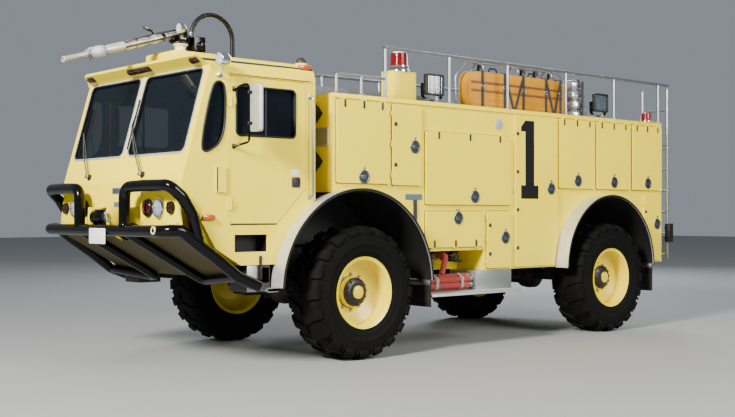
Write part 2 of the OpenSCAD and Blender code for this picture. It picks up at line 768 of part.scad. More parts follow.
// Steps below the cab, the running board with its box between the wheels, the step across
// the rear, and a grab rail behind each cab door
board_front = tray_x[1];
rear_step_z = 940;
module steps_and_rails() {
  color("#8a8c86") difference() {
    block(-body_rear - 150, -body_rear - seat, -900, 600, rear_step_z - 60, rear_step_z);
    block(-body_rear - 142, -body_rear + 1, -892, 592, rear_step_z - 61, rear_step_z - 8);
  }
  color("#8a8c86") both_sides() {
    bent_tube([[610, side_y + seat, gutter_z - 160], [610, side_y + 50, gutter_z - 160],
               [610, side_y + 50, 1700], [610, side_y + seat, 1700]], 28);
    difference() {
      block(1100, 1380, 900, side_y - 20, 760, 1030 - seat);
      block(1110, 1230, side_y - 160, side_y - 19, 850, 1000);
    }
    block(1105, 1235, side_y - 40, 1350, 760, 800);
    block(tray_x[0] - 440, board_front, 760, 1400, 610, 640);
    block(tray_x[0] - 490, tray_x[0] + 130, 760, side_y - 20, 630, body_z - seat);
    block(board_front - 60, board_front, 760, 800, 630, body_z - seat);
  }
}

// The turret: its plinth and column, the head that turns on it, and the barrel
turret_yaw_z = barrel_pin_z - 114;
plinth_z = roof_z + 100;
valve_box_z = roof_z + 300;
module turret_base() {
  color("#e9d98a") {
    block(1050, 1650, -300, 300, roof_z + seat, plinth_z + 5);
    translate([barrel_pin_x, 0, plinth_z]) cylinder(d = 170, h = turret_yaw_z - plinth_z - seat);
    block(1150, 1295, -110, 110, plinth_z, valve_box_z);
    block(1120, 1180, -60, 60, plinth_z + 30, valve_box_z - 30);
    for (a = [0:60:300])
      translate([barrel_pin_x + 120 * cos(a), 120 * sin(a), plinth_z]) cylinder(d = 24, h = 18);
  }
}
module turret_swivel() {
  color("#202224") {
    difference() {
      translate([barrel_pin_x, 0, 0]) {
        translate([0, 0, turret_yaw_z]) cylinder(d = 190, h = 24);
        for (y = [-74, 54]) block(-50, 50, y, y + 20, turret_yaw_z + 20, barrel_pin_z + 50);
      }
      bar([barrel_pin_x, -200, barrel_pin_z], [barrel_pin_x, 200, barrel_pin_z], 30 + 2 * pin_slip);
    }
  }
}
module turret_barrel() {
  color("#d8c15a") translate([barrel_pin_x, 0, barrel_pin_z]) rotate([0, barrel_dip, 0]) {
    bar([0, -88, 0], [0, 88, 0], 30);
    bar([0, -48, 0], [0, 48, 0], 84);
    bar([-60, 0, 0], [420, 0, 0], 66);
    bar([300, 0, 0], [345, 0, 0], 92);
    translate([419, 0, 0]) rotate([0, 90, 0]) cylinder(d1 = 66, d2 = 96, h = 120);
    bar([538, 0, 0], [880, 0, 0], 96);
    translate([879, 0, 0]) rotate([0, 90, 0]) cylinder(d1 = 96, d2 = 54, h = 130);
    bar([1000, 0, 0], [barrel_l, 0, 0], 54);
    bar([-30, 0, 84], [40, 0, 84], 96);
    block(-12, 12, -14, 14, 30, 60);
    both_sides() bar([-40, 36, -12], [700, 36, -12], 22);
    block(960, 1080, -62, -54, -56, 56);
    block(960, 1080, 54, 62, -56, 56);
    block(960, 1080, -60, 60, -5, 5);
  }
}
hose_d = 46;
hose_top = [1000, valve_box_z + 10];
hose_bend = 265;
module turret_hose() {
  color("#161616") {
    translate([hose_top[0], 0, hose_top[1]]) rotate([90, 0, 0])
      rotate_extrude(angle = 180) translate([hose_bend, 0]) circle(d = hose_d);
    bar([hose_top[0] - hose_bend, 0, roof_z + seat], [hose_top[0] - hose_bend, 0, hose_top[1]], hose_d);
    bar([hose_top[0] + hose_bend, 0, valve_box_z + seat], [hose_top[0] + hose_bend, 0, hose_top[1]], hose_d);
  }
}

// The body: walls round the lockers, a deck with a raised edge, open below over the chassis
module locker_space(d, front_y) {
  difference() {
    locker_block(d, front_y);
    arch_cut(rear_arch, rear_arch_r + 30, front_y - locker_depth - 1);
  }
}
module locker_block(d, front_y) {
  block(d[DOOR_X0] - locker_wall, d[DOOR_X1] + locker_wall, front_y - locker_depth, front_y + 50,
        d[DOOR_Z0] + locker_wall, d[DOOR_Z1] - locker_wall);
}
module body_shell() {
  color("#e9d98a") {
    difference() {
      block(-body_rear, body_front, -frame_y, frame_y, body_z, deck_z);
      block(-body_rear - 1, body_front + 1, -well_y, well_y, body_z - 1, tunnel_z);
      block(-body_rear + 40, body_front - 40, -frame_y + 40, frame_y - 40, deck_z - 30, deck_z + 1);
      block(engine_x[0] - 50, engine_x[1] + 70, -330, 430, tunnel_z - 1, engine_top + 30);
      arch_cut(front_arch, front_arch_r + seat, well_y);
      arch_cut(rear_arch, rear_arch_r + seat, well_y);
      both_sides() block(tray_x[0], tray_x[1], 760, frame_y + 1, body_z - 1, 1110);
      for (d = left_doors) locker_space(d, frame_y);
      mirror([0, 1, 0]) for (d = right_doors) locker_space(d, frame_y);
    }
    for (d = left_doors) body_hinges(d);
    mirror([0, 1, 0]) for (d = right_doors) body_hinges(d);
  }
}

// Hinge places along a door's hinged edge, as shares of its length
hinge_at = [0.12, 0.5, 0.88];
hinge_l = 60;

// The hinge knuckles of one edge, in the hinge's own line: the body has the middle third
module hinge_line(d) {
  e = d[DOOR_EDGE];
  upright = e == "front";
  start = upright ? d[DOOR_Z0] : d[DOOR_X1];
  span = upright ? d[DOOR_Z1] - d[DOOR_Z0] : d[DOOR_X0] - d[DOOR_X1];
  for (share = hinge_at)
    if (upright) translate([d[DOOR_X0] + hinge_reach, hinge_y, start + share * span]) children();
    else translate([start + share * span, hinge_y,
                    e == "top" ? d[DOOR_Z1] + hinge_reach : d[DOOR_Z0] - hinge_reach])
      rotate([0, 90, 0]) children();
}
module body_hinges(d) {
  hinge_line(d) {
    translate([0, 0, -hinge_l / 6]) cylinder(d = hinge_d, h = hinge_l / 3);
  }
  upright = d[DOOR_EDGE] == "front";
  hinge_line(d) {
    if (upright) block(-hinge_d / 2, hinge_d / 2, frame_y - hinge_y - 2, 0, -hinge_l / 6, hinge_l / 6);
    else block(-hinge_d / 2, hinge_d / 2, frame_y - hinge_y - 2, 0, -hinge_l / 6, hinge_l / 6);
  }
}
module locker_door(d) {
  color("#e9d98a") {
    difference() {
      side_plate(door_in_y, side_y) round_rect(d[DOOR_X1], d[DOOR_Z0], d[DOOR_X0], d[DOOR_Z1], 22);
      arch_cut(rear_arch, rear_arch_r + arch_t + 20, door_in_y - 10);
    }
    hinge_line(d) for (s = [-1, 1])
      translate([0, 0, s * (hinge_l / 3 + slip / 2)]) {
        translate([0, 0, -hinge_l / 6]) cylinder(d = hinge_d, h = hinge_l / 3 - slip);
        hinge_web(d[DOOR_EDGE]);
      }
  }
}

// The door's web from its edge to the hinge pin
module hinge_web(edge) {
  h = hinge_l / 3 - slip;
  reach = hinge_reach + 6;
  if (edge == "front") block(-reach, 0, -hinge_d / 2, hinge_d / 2, -hinge_l / 6, h - hinge_l / 6);
  if (edge == "top") block(0, reach, -hinge_d / 2, hinge_d / 2, -hinge_l / 6, h - hinge_l / 6);
  if (edge == "bottom") block(-reach, 0, -hinge_d / 2, hinge_d / 2, -hinge_l / 6, h - hinge_l / 6);
}

// Bands round the four wheel arches
module arch_band(arch, r, low) {
  intersection() {
    turned_across(arch[0], 0, arch[1])
      polygon([[r - arch_t, -frame_y], [r, -frame_y], [r, -over_arches / 2 + 20],
               [r + 14, -over_arches / 2 + 12],
               [r + 14, -over_arches / 2], [r - arch_t, -over_arches / 2]]);
    block(arch[0] - 1200, arch[0] + 1200, -1500, 1500, low, 2500);
  }
}
front_leg_z = 800;
rear_leg_z = 860;
flap_t = 14;
rear_flap_x = rear_arch[0] - rear_arch_r + 8;
module arch_bands() {
  color("#b9bcbe") both_sides() {
    arch_band(front_arch, front_arch_r, front_leg_z);
    arch_band(rear_arch, rear_arch_r, rear_leg_z);
  }
}

module mud_flaps() {
  color("#1b1b1b") both_sides() {
    block(board_front + seat, board_front + seat + flap_t, 940, 1380, 500, front_leg_z - seat);
    block(rear_flap_x - flap_t, rear_flap_x, 940, 1380, 490, rear_leg_z - seat);
  }
}

// Two folds of rubber that close the gap between the cab and the body
bellows_z = [1930, 2440];
bellows_h = 320;
module bellows() {
  color("#1a1a1a") for (z = bellows_z)
    cross_plate(body_front + seat, cab_rear - seat) difference() {
      polygon([[-860, z], [860, z], [1040, z + bellows_h / 2], [860, z + bellows_h], [-860, z + bellows_h],
               [-1040, z + bellows_h / 2]]);
      polygon([[-852, z + 8], [852, z + 8], [1028, z + bellows_h / 2], [852, z + bellows_h - 8],
               [-852, z + bellows_h - 8], [-1028, z + bellows_h / 2]]);
    }
}

// Suction hoses carried on the left running board: one in the middle and six round it
hose_r = 34;
hose_x = [tray_x[0] + 150, board_front - 140];
hose_z = 640.3 + 3 * hose_r - 2;
module hose_bundle() {
  color("#9c2b22") {
    bar([hose_x[0], 1080, hose_z], [hose_x[1], 1080, hose_z], 2 * hose_r);
    for (a = [30:60:330])
      translate([hose_x[0], 1080 + (2 * hose_r - 2) * cos(a), hose_z + (2 * hose_r - 2) * sin(a)])
        rotate([0, 90, 0]) cylinder(r = hose_r, h = hose_x[1] - hose_x[0]);
  }
}

// Rails, posts and hoops on the deck
post_x = [-480, axle_x + 2800, axle_x + 1790, axle_x + 670, axle_x - 350, -body_rear + 40];
module deck_rails() {
  color("#c2c5c7") both_sides() {
    for (x = post_x) bar([x, 1170, deck_z + seat], [x, 1170, rail_top_z], rail_tube_d);
    bar([-480 + rail_tube_d / 2, 1170, rail_top_z], [ladder_x - ladder_d / 2, 1170, rail_top_z],
        rail_tube_d + 2);
    for (x = [220, -130]) bar([x, 1170, deck_z + seat], [x, 1170, 3010], rail_tube_d);
    bar([220 + rail_tube_d / 2, 1170, 3010], [-480, 1170, 3010], rail_tube_d - 4);
  }
}

deck_floor_z = deck_z - 30 + seat;
flood_x = [axle_x + 2915, axle_x - 230];
module deck_lamps() {
  color("#c0281e") both_sides() {
    block(-1070, -710, 850, 1050, deck_floor_z, 3140);
    translate([-890, 950, 3139]) cylinder(d = 240, h = 60);
    translate([-890, 950, 3180]) cylinder(d = 210, h = 190);
    translate([-body_rear + 135, 1040, deck_floor_z]) cylinder(d = 180, h = 150);
  }
  color("#d0d2d4") for (x = flood_x) {
    block(x - 150, x + 150, 1015, 1060, 2900, 3150);
    translate([x, 1016, 3025]) rotate([90, 0, 0]) cylinder(d1 = 230, d2 = 120, h = 90);
    for (s = [-1, 1]) block(x + s * 152, x + s * 160, 975, 1025, 2850, 3040);
    for (s = [-1, 1]) block(x + s * 149, x + s * 153, 985, 1015, 3010, 3030);
    block(x - 160, x + 160, 975, 1025, 2846, 2854);
    bar([x, 1000, deck_floor_z], [x, 1000, 2850], 60);
  }
}

// A basket stretcher on its edge: a thin shell open towards the middle of the deck, with
// two grooves along its back, in a tube frame
function basket(x0, x1, z0, z1) = [
  [x0, z0 + 90], [x0 + 70, z0], [x1 - 160, z0], [x1 - 40, z0 + 60], [x1, z0 + 150], [x1, z1 - 110],
  [x1 - 60, z1 - 20], [x1 - 170, z1], [x0 + 70, z1], [x0, z1 - 80]];
stretcher_x = [axle_x + 480, axle_x + 2420];
stretcher_y = [850, 1010];
stretcher_top = 3270;
module stretcher() {
  x0 = stretcher_x[0];
  x1 = stretcher_x[1];
  color("#dfa02c") difference() {
    side_plate(stretcher_y[0], stretcher_y[1]) polygon(basket(x0, x1, deck_floor_z, stretcher_top));
    side_plate(stretcher_y[0] - 1, stretcher_y[1] - 22)
      polygon(basket(x0 + 12, x1 - 12, deck_floor_z + 12, stretcher_top - 12));
    for (z = [3010, 3110]) block(x0 + 60, x1 - 120, stretcher_y[1] - 12, stretcher_y[1] + 1, z, z + 26);
  }
  tube_y = stretcher_y[0] - 11 - 0.5;
  color("#8d9092") {
    for (x = [x0 + 300, x0 + 950, x1 - 350])
      bent_tube([[x, tube_y, deck_floor_z + 12], [x, tube_y, stretcher_top + 40],
                 [x, stretcher_y[0] + 60, stretcher_top + 100],
                 [x, stretcher_y[1] + 10, stretcher_top + 60]], 22);
    for (z = [stretcher_top - 60, deck_floor_z + 80])
      bar([x0 + 60, tube_y, z], [x1 - 160, tube_y, z], 24);
  }
}

// Folded foil blankets, one on the other
fold_h = 132;
module blanket_stack() {
  color("#aeb2b5") for (i = [0:3])
    side_plate(800 + 6 * i, 1080 - 8 * i) translate([axle_x + 80 + 8 * i, deck_floor_z + i * (fold_h - 1)])
      round_rect(0, 0, 270 - 10 * i, fold_h, 50);
}

// A ladder stowed flat over the deck's right side, on two frames
module roof_ladder() {
  color("#4a4c4e") {
    for (y = [-720, -320]) block(-2600, -200, y, y + 40, 3000, 3080);
    for (x = [-2500:300:-300]) block(x - 15, x + 15, -690, -310, 3025, 3055);
    for (x = [-2200, -600]) {
      block(x - 20, x + 20, -720, -280, 2960, 3001);
      for (y = [-720, -320]) block(x - 20, x + 20, y, y + 40, deck_floor_z, 2970);
    }
  }
}

// The ladder at the left rear corner, with its rungs and stays
rung_z = [960:300:2700];
ladder_in_y = 760;
module rear_ladder() {
  color("#c2c5c7") {
    for (y = [ladder_in_y, 1170]) {
      bar([ladder_x, y, 900], [ladder_x, y, rail_top_z - 50], ladder_d);
      for (z = [1100, 2500]) bar([ladder_x, y, z], [-body_rear - seat, y, z], 26);
    }
    for (z = rung_z) bar([ladder_x, ladder_in_y, z], [ladder_x, 1170, z], 26);
    bar([ladder_x, ladder_in_y, 3000], [ladder_x, 1170, 3000], 26);
  }
}

// Everything slides along X so that the middle of its length is over the origin
module placed() {
  translate([-mid_x, 0, 0]) children();
}

placed() chassis_frame();
placed() leaf_springs();
placed() front_axle();
placed() rear_axle();
placed() driveline();
placed() knuckle_left();
placed() knuckle_right();
placed() tie_rod();
placed() wheel_place(0, 1) tyre();  // tyre_front_left
placed() wheel_place(0, -1) tyre();  // tyre_front_right
placed() wheel_place(-wheelbase, 1) tyre();  // tyre_rear_left
placed() wheel_place(-wheelbase, -1) tyre();  // tyre_rear_right
placed() wheel_place(0, 1) rim();  // rim_front_left
placed() wheel_place(0, -1) rim();  // rim_front_right
placed() wheel_place(-wheelbase, 1) rim();  // rim_rear_left
placed() wheel_place(-wheelbase, -1) rim();  // rim_rear_right
placed() cab_shell();
placed() cab_glass();
placed() cab_door_left();
placed() cab_door_right();
placed() cab_door_glass_left();
placed() cab_door_glass_right();
placed() cab_interior();
placed() front_guard();
placed() skid_plate();
placed() winch();
placed() cab_lamps();
placed() wipers();
placed() mirror_left();
placed() mirror_right();
placed() steps_and_rails();
placed() turret_base();
placed() turret_swivel();
placed() turret_barrel();
placed() turret_hose();
placed() body_shell();
placed() arch_bands();
placed() mud_flaps();
placed() bellows();
placed() hose_bundle();
placed() deck_rails();
placed() deck_lamps();
placed() stretcher();
placed() blanket_stack();
placed() roof_ladder();
placed() rear_ladder();
for (i = [1:10])
  placed() locker_door(left_doors[i - 1]);
for (i = [1:4])
  placed() mirror([0, 1, 0]) locker_door(right_doors[i - 1]);
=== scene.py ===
# %% [markdown]
# An airport fire truck, dressed
# The truck's structure comes ready as a fixed frame: every solid piece stands at its real
# size and place, and nothing here moves one. This notebook gives each piece its finish and
# adds the lamps, seals, latches, straps and trim that make it a working truck.

# %% Load the frame
import math

import bmesh
import bpy
from mathutils import Matrix, Vector, noise


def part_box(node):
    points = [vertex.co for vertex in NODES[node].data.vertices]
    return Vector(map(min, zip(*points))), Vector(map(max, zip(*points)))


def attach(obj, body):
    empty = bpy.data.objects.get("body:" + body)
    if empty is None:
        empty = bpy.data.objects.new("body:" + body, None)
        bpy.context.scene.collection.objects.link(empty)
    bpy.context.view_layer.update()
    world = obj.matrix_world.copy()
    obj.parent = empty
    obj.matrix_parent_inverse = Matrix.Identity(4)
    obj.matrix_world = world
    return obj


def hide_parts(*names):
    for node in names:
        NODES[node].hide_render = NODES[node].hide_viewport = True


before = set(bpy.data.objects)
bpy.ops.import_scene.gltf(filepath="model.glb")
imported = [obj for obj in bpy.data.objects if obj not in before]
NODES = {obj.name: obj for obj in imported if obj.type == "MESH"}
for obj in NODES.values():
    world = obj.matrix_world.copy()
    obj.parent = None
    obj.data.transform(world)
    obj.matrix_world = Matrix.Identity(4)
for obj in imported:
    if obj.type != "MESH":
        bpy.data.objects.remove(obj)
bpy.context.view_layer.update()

# %% [markdown]
# Where things are
# Drawings of trucks measure along the truck from the front axle, across from the middle and
# up from the ground. The frame's origin is under the middle of the truck, so one number, the
# front axle's place along X, turns one into the other. It is read from the front rim.

# %% Places measured from the front axle
rim_low, rim_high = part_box("rim_front_left")
AXLE_X = (rim_low[0] + rim_high[0]) / 2
WHEEL_Z = (rim_low[2] + rim_high[2]) / 2
WHEEL_Y = (rim_low[1] + rim_high[1]) / 2
rear_rim_low, rear_rim_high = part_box("rim_rear_left")
REAR_AXLE = (rear_rim_low[0] + rear_rim_high[0]) / 2 - AXLE_X
GLASS_INSET = 0.024
SIDE_FACE = round(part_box("cab_door_glass_left")[1][1] + GLASS_INSET, 3)
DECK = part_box("body_shell")[1][2]
BODY_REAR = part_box("body_shell")[0][0] - AXLE_X
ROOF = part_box("turret_base")[0][2]
print(f"front axle at x = {AXLE_X:.3f} m, rear axle {REAR_AXLE:.3f} m from it, deck at {DECK:.2f} m")

# %% [markdown]
# The camera
# The photograph was taken from the left of the nose at about eye height. Its place, its
# direction and its focal length were worked out from edges of the truck whose real lengths
# are known. The optical axis passes 6.5 pixels left of the picture's middle, which is what
# the small shift is for.

# %% Camera
PHOTO_W = 735
FOCAL_PX = 1100.1
AXIS_PX = 361.0
SENSOR_MM = 36.0
CAMERA_FROM_AXLE = Vector((7.6238, 10.0687, 1.5276))
LOOK = Vector((-0.65687, -0.75399, 0.00539))


def place_camera():
    """The camera that took the photograph."""
    data = bpy.data.cameras.new("photo_camera")
    data.sensor_width = SENSOR_MM
    data.lens = FOCAL_PX * SENSOR_MM / PHOTO_W
    data.shift_x = (PHOTO_W / 2 - AXIS_PX) / PHOTO_W
    camera = bpy.data.objects.new("photo_camera", data)
    camera.location = CAMERA_FROM_AXLE + Vector((AXLE_X, 0, 0))
    camera.rotation_euler = LOOK.to_track_quat("-Z", "Y").to_euler()
    bpy.context.collection.objects.link(camera)
    bpy.context.scene.camera = camera
    return camera


camera = place_camera()
print(f"camera at {[round(v, 2) for v in camera.location]}, lens {camera.data.lens:.1f} mm")

# %% [markdown]
# Light and floor
# A large soft lamp ahead and to the left stands for the bright day in the photograph: it
# lights the nose more than the side. A pale sky fills the shadows, and a plain pale floor
# carries the truck.

# %% Light and floor
def light(name, place, size, watts, colour):
    """A round soft lamp that shines at the middle of the truck."""
    data = bpy.data.lights.new(name, "AREA")
    data.shape = "DISK"
    data.size = size
    data.energy = watts
    data.color = colour
    lamp = bpy.data.objects.new(name, data)
    lamp.location = place
    lamp.rotation_euler = (Vector((0, 0, 1.2)) - lamp.location).to_track_quat("-Z", "Y").to_euler()
    bpy.context.collection.objects.link(lamp)


light("key_light", Vector((16, 5.5, 10)), 3.5, 8200, (1.0, 0.97, 0.9))
light("side_light", Vector((-2, 15, 8)), 8, 2700, (1.0, 0.98, 0.95))
light("back_light", Vector((-13, -10, 9)), 8, 1800, (0.94, 0.97, 1.0))

world = bpy.data.worlds.new("pale_sky")
world.use_nodes = True
world.node_tree.nodes["Background"].inputs["Color"].default_value = (0.78, 0.86, 0.95, 1)
world.node_tree.nodes["Background"].inputs["Strength"].default_value = 0.32
bpy.context.scene.world = world

# %% [markdown]
# Helpers for finishes
# Paint makers name colours in sRGB, and Blender works in linear light, so one function turns
# a hex value into a linear colour. Another adds one node to a material with its settings and
# its links: a feed that is a socket is linked, and a feed that is a value is set. A finish is
# a colour and a roughness, with fine bumps, two drifting tones and road dust where it has them.

# %% Colour and node helpers
EVEN = (1, 1, 1)


def colour(hex_value):
    """A linear colour from an sRGB hex value."""
    parts = [int(hex_value[i:i + 2], 16) / 255 for i in (0, 2, 4)]
    return tuple(c / 12.92 if c <= 0.04045 else ((c + 0.055) / 1.055) ** 2.4 for c in parts) + (1.0,)


def add_node(tree, kind, feeds=None, **settings):
    """One node, with its settings, and its inputs by name or number."""
    made = tree.nodes.new(kind)
    for name, value in settings.items():
        setattr(made, name, value)
    for key, value in (feeds or {}).items():
        if isinstance(value, bpy.types.NodeSocket):
            tree.links.new(value, made.inputs[key])
        else:
            made.inputs[key].default_value = value
    return made


def node(tree, kind, feeds=None, **settings):
    """One node of a material."""
    return add_node(tree, "ShaderNode" + kind, feeds, **settings)


def finish(name, hex_value, roughness, bumps=(), tones=(), dust=(), **sockets):
    """A new material, with bumps, two drifting tones and road dust where it has them."""
    material = bpy.data.materials.new(name)
    material.use_nodes = True
    shader = material.node_tree.nodes["Principled BSDF"]
    shader.inputs["Base Color"].default_value = colour(hex_value)
    shader.inputs["Roughness"].default_value = roughness
    for socket, value in sockets.items():
        shader.inputs[socket.replace("_", " ")].default_value = value
    material.diffuse_color = colour(hex_value)
    if bumps:
        grain(material, *bumps)
    if tones:
        drifting = mottle(material, *tones)
        if dust:
            dusty(material, drifting, *dust)
    return material


def parts_of(material):
    """The material's tree, its shader and its Object coordinates."""
    tree = material.node_tree
    coordinates = node(tree, "TexCoord").outputs["Object"]
    return tree, tree.nodes["Principled BSDF"], coordinates


def mottle(material, hex_a, hex_b, patch, contrast=0.5):
    """Colour that drifts between two tones in patches of about that many metres."""
    tree, shader, coordinates = parts_of(material)
    noise = node(tree, "TexNoise",
        {"Vector": coordinates, "Scale": 1 / patch, "Detail": 5.0, "Roughness": 0.6})
    ramp = node(tree, "MapRange", {"Value": noise.outputs["Fac"], "From Min": 0.5 - contrast / 2,
        "From Max": 0.5 + contrast / 2})
    mix = node(tree, "Mix", {0: ramp.outputs[0], 6: colour(hex_a), 7: colour(hex_b)}, data_type="RGBA")
    tree.links.new(mix.outputs[2], shader.inputs["Base Color"])
    return mix.outputs[2]


def grain(material, size, depth, stretch=EVEN, detail=2.0):
    """Bump from noise of that grain size and depth, in metres."""
    tree, shader, coordinates = parts_of(material)
    mapped = node(tree, "Mapping", {"Vector": coordinates, "Scale": stretch})
    noise = node(tree, "TexNoise", {"Vector": mapped.outputs[0], "Scale": 1 / size, "Detail": detail})
    bump = node(tree, "Bump", {"Height": noise.outputs["Fac"], "Distance": depth, "Strength": 1.0})
    tree.links.new(bump.outputs[0], shader.inputs["Normal"])
    return noise.outputs["Fac"]


def dusty(material, clean, dust_hex, low, high, most):
    """Road dust that thins out with height: full at low metres, none above high."""
    tree, shader, coordinates = parts_of(material)
    height = node(tree, "SeparateXYZ", {0: coordinates}).outputs["Z"]
    fade = node(tree, "MapRange", {"Value": height, "From Min": low, "From Max": high, "To Min": most,
        "To Max": 0.0})
    noise = node(tree, "TexNoise", {"Vector": coordinates, "Scale": 9.0, "Detail": 6.0, "Roughness": 0.7})
    amount = node(tree, "Math", {0: fade.outputs[0], 1: noise.outputs["Fac"]}, operation="MULTIPLY")
    mix = node(tree, "Mix", {0: amount.outputs[0], 6: clean, 7: colour(dust_hex)}, data_type="RGBA")
    tree.links.new(mix.outputs[2], shader.inputs["Base Color"])


# %% [markdown]
# Paint
# The body and cab are aluminium sheet sprayed with two-pack enamel in a pale lime yellow,
# the colour that airports choose because it shows at dusk. Years of sun bleach it in soft
# patches and road dust greys the lowest half metre. Under its clear top layer it is smooth,
# with the faint orange-peel texture of sprayed paint. Rims are the same enamel in a strong
# yellow, and tubes and the chassis are black. The skid plate's enamel is painted dark olive,
# which is painted shade for the deep shadow under the nose, with road dust over it.

# %% Paints
body_enamel = finish("sprayed_lime_enamel", "F7DE10", 0.45, bumps=(0.012, 0.00025),
    tones=("F5DA0A", "F9E128", 0.9, 0.6), dust=("A09678", 0.55, 1.3, 0.45), Specular_IOR_Level=0.25,
    Coat_Weight=0.1, Coat_Roughness=0.12)

rim_enamel = finish("sprayed_yellow_enamel", "F7DC08", 0.34, bumps=(0.01, 0.0002),
    tones=("F4D804", "FAE21A", 0.2, 0.6), dust=("7A6A3C", 0.2, 1.1, 0.2), Coat_Weight=0.25,
    Coat_Roughness=0.1)

tube_black = finish("black_gloss_enamel", "040405", 0.16, bumps=(0.05, 0.0002),
    tones=("030304", "080809", 0.3), Specular_IOR_Level=0.25)

chassis_black = finish("chassis_black_paint", "151515", 0.55, bumps=(0.006, 0.0006),
    tones=("101010", "191817", 0.15), dust=("4E473B", 0.3, 1.4, 0.4))

# Painted shade: the skid plate's dark olive stands for the deep shadow under the nose; the dust on it is
# real road dust.
skid_paint_with_painted_shade = finish("lime_enamel_painted_shade_and_dust", "4C4420", 0.6, bumps=(0.01, 0.0004),
    tones=("42391A", "5C522A", 0.3), dust=("3A3424", 0.7, 1.6, 0.7), Specular_IOR_Level=0.2)

numeral_black = finish("black_vinyl_film", "070708", 0.5, bumps=(0.004, 0.0001),
    tones=("050506", "0B0B0C", 0.1), Specular_IOR_Level=0.3)

# %% [markdown]
# Rubber
# Tyre rubber is matt and browned by dust on the tread and shoulders. Seals, bellows and mud
# flaps are smoother black rubber. Neither is truly black: a little sheen at grazing angles
# keeps their forms readable.

# %% Rubbers
tyre_rubber = finish("tyre_rubber", "050505", 0.75, bumps=(0.004, 0.0006, EVEN, 6.0),
    tones=("030303", "080808", 0.06), dust=("24211D", 0.0, 1.2, 0.25), Specular_IOR_Level=0.12)

seal_rubber = finish("black_seal_rubber", "070707", 0.5, bumps=(0.003, 0.0002),
    tones=("070707", "101010", 0.08), Specular_IOR_Level=0.35)

flap_rubber = finish("ribbed_flap_rubber", "0A0A0A", 0.7, bumps=(0.02, 0.0008, (1, 8, 1)),
    tones=("080808", "0E0E0E", 0.1), dust=("4E473B", 0.4, 1.0, 0.4), Specular_IOR_Level=0.3)

# %% [markdown]
# Bright metal
# Arch bands, ladders and handrails are bare aluminium, which weathers to a soft grey with
# fine drawn lines along it. The rails and ladders are a darker grey than the bands, which is
# painted shade on the thin tubes. Lamp rims are chrome plate and latches are die-cast
# zinc. Steps are tread plate, whose raised bars stand two ways in turn on a 25 mm pitch: each
# bar is an ellipse in its own cell, and a checker chooses which way it lies. Bolts are zinc
# plated.

# %% Metals
band_aluminium = finish("weathered_aluminium", "D2D5D7", 0.5, bumps=(0.004, 0.00015, (1, 1, 12), 4.0),
    tones=("C8CBCD", "DEE0E1", 0.12), Metallic=0.75)

# Painted shade: the rails' darker grey stands for the shade on the thin deck rails, ladders and handrails.
rail_aluminium_with_painted_shade = finish("drawn_aluminium_tube_painted_shade", "A9AEB1", 0.32, bumps=(0.003, 0.0001, (0.1, 1, 1), 3.0),
    tones=("9CA1A4", "B4B8BB", 0.2), Metallic=1.0)

chrome = finish("chrome_plate", "E4E6E8", 0.08, bumps=(0.03, 0.00003), Metallic=1.0)

satin_zinc = finish("satin_die_cast_zinc", "79838A", 0.3, Metallic=1.0)
zinc = finish("zinc_plated_steel", "9EA1A3", 0.42, tones=("8C8F91", "B2B4B5", 0.01), Metallic=1.0)

dark_steel = finish("oiled_dark_steel", "3B3B3D", 0.45, bumps=(0.004, 0.0003),
    tones=("2D2D2F", "4A4947", 0.05), Metallic=0.8)

PLATE_PITCH = 0.025


def tread_plate():
    """Aluminium plate with raised bars that lie two ways in turn."""
    material = finish("tread_plate_aluminium", "A7AAA9", 0.42, Metallic=0.9)
    tree, shader, coordinates = parts_of(material)
    cells = node(tree, "VectorMath", {0: coordinates, 3: 1 / PLATE_PITCH}, operation="SCALE")
    inside = node(tree, "VectorMath", {0: cells.outputs[0]}, operation="FRACTION")
    centred = node(tree, "VectorMath", {0: inside.outputs[0], 1: (0.5, 0.5, 0.5)}, operation="SUBTRACT")
    heights = []
    for way in (1, -1):
        along = node(tree, "VectorMath", {0: centred.outputs[0], 1: (1.5, 1.5 * way, 0)},
            operation="DOT_PRODUCT")
        across = node(tree, "VectorMath", {0: centred.outputs[0], 1: (5, -5 * way, 0)},
            operation="DOT_PRODUCT")
        square_a = node(tree, "Math", {0: along.outputs["Value"], 1: 2.0}, operation="POWER")
        square_b = node(tree, "Math", {0: across.outputs["Value"], 1: 2.0}, operation="POWER")
        both_squares = node(tree, "Math", {0: square_a.outputs[0], 1: square_b.outputs[0]}, operation="ADD")
        heights.append(
            node(tree, "MapRange",
                {"Value": both_squares.outputs[0], "From Min": 1.0, "From Max": 0.3}).outputs[0])
    checker = node(tree, "TexChecker", {"Vector": cells.outputs[0], "Scale": 1.0})
    height = node(tree, "Mix", {0: checker.outputs["Fac"], 2: heights[0], 3: heights[1]})
    bump = node(tree, "Bump", {"Height": height.outputs[0], "Distance": 0.002})
    tree.links.new(bump.outputs[0], shader.inputs["Normal"])
    return material


plate_aluminium = tread_plate()

# %% [markdown]
# Glass and lenses
# The screens are 8 mm laminated glass with a slight grey-green tint. Panes this thin bend
# light very little, so a clear, glossy film with a little dark tint looks as they do and
# lets the cabin show. Lamp lenses are moulded acrylic: clear, red or amber, with ribs inside.

# %% Glass, lenses and mirror
window_glass = finish("laminated_window_glass", "0C161D", 0.03, Alpha=0.46, IOR=1.5)
clear_lens = finish("clear_ribbed_lens", "D9DFE2", 0.06, Alpha=0.35, IOR=1.49)
flood_glass_grey = finish("ribbed_flood_lamp_glass", "566872", 0.1, Alpha=0.75, IOR=1.5)
head_lens = finish("clear_head_lamp_glass", "E4EAEE", 0.03, Alpha=0.12, IOR=1.5)
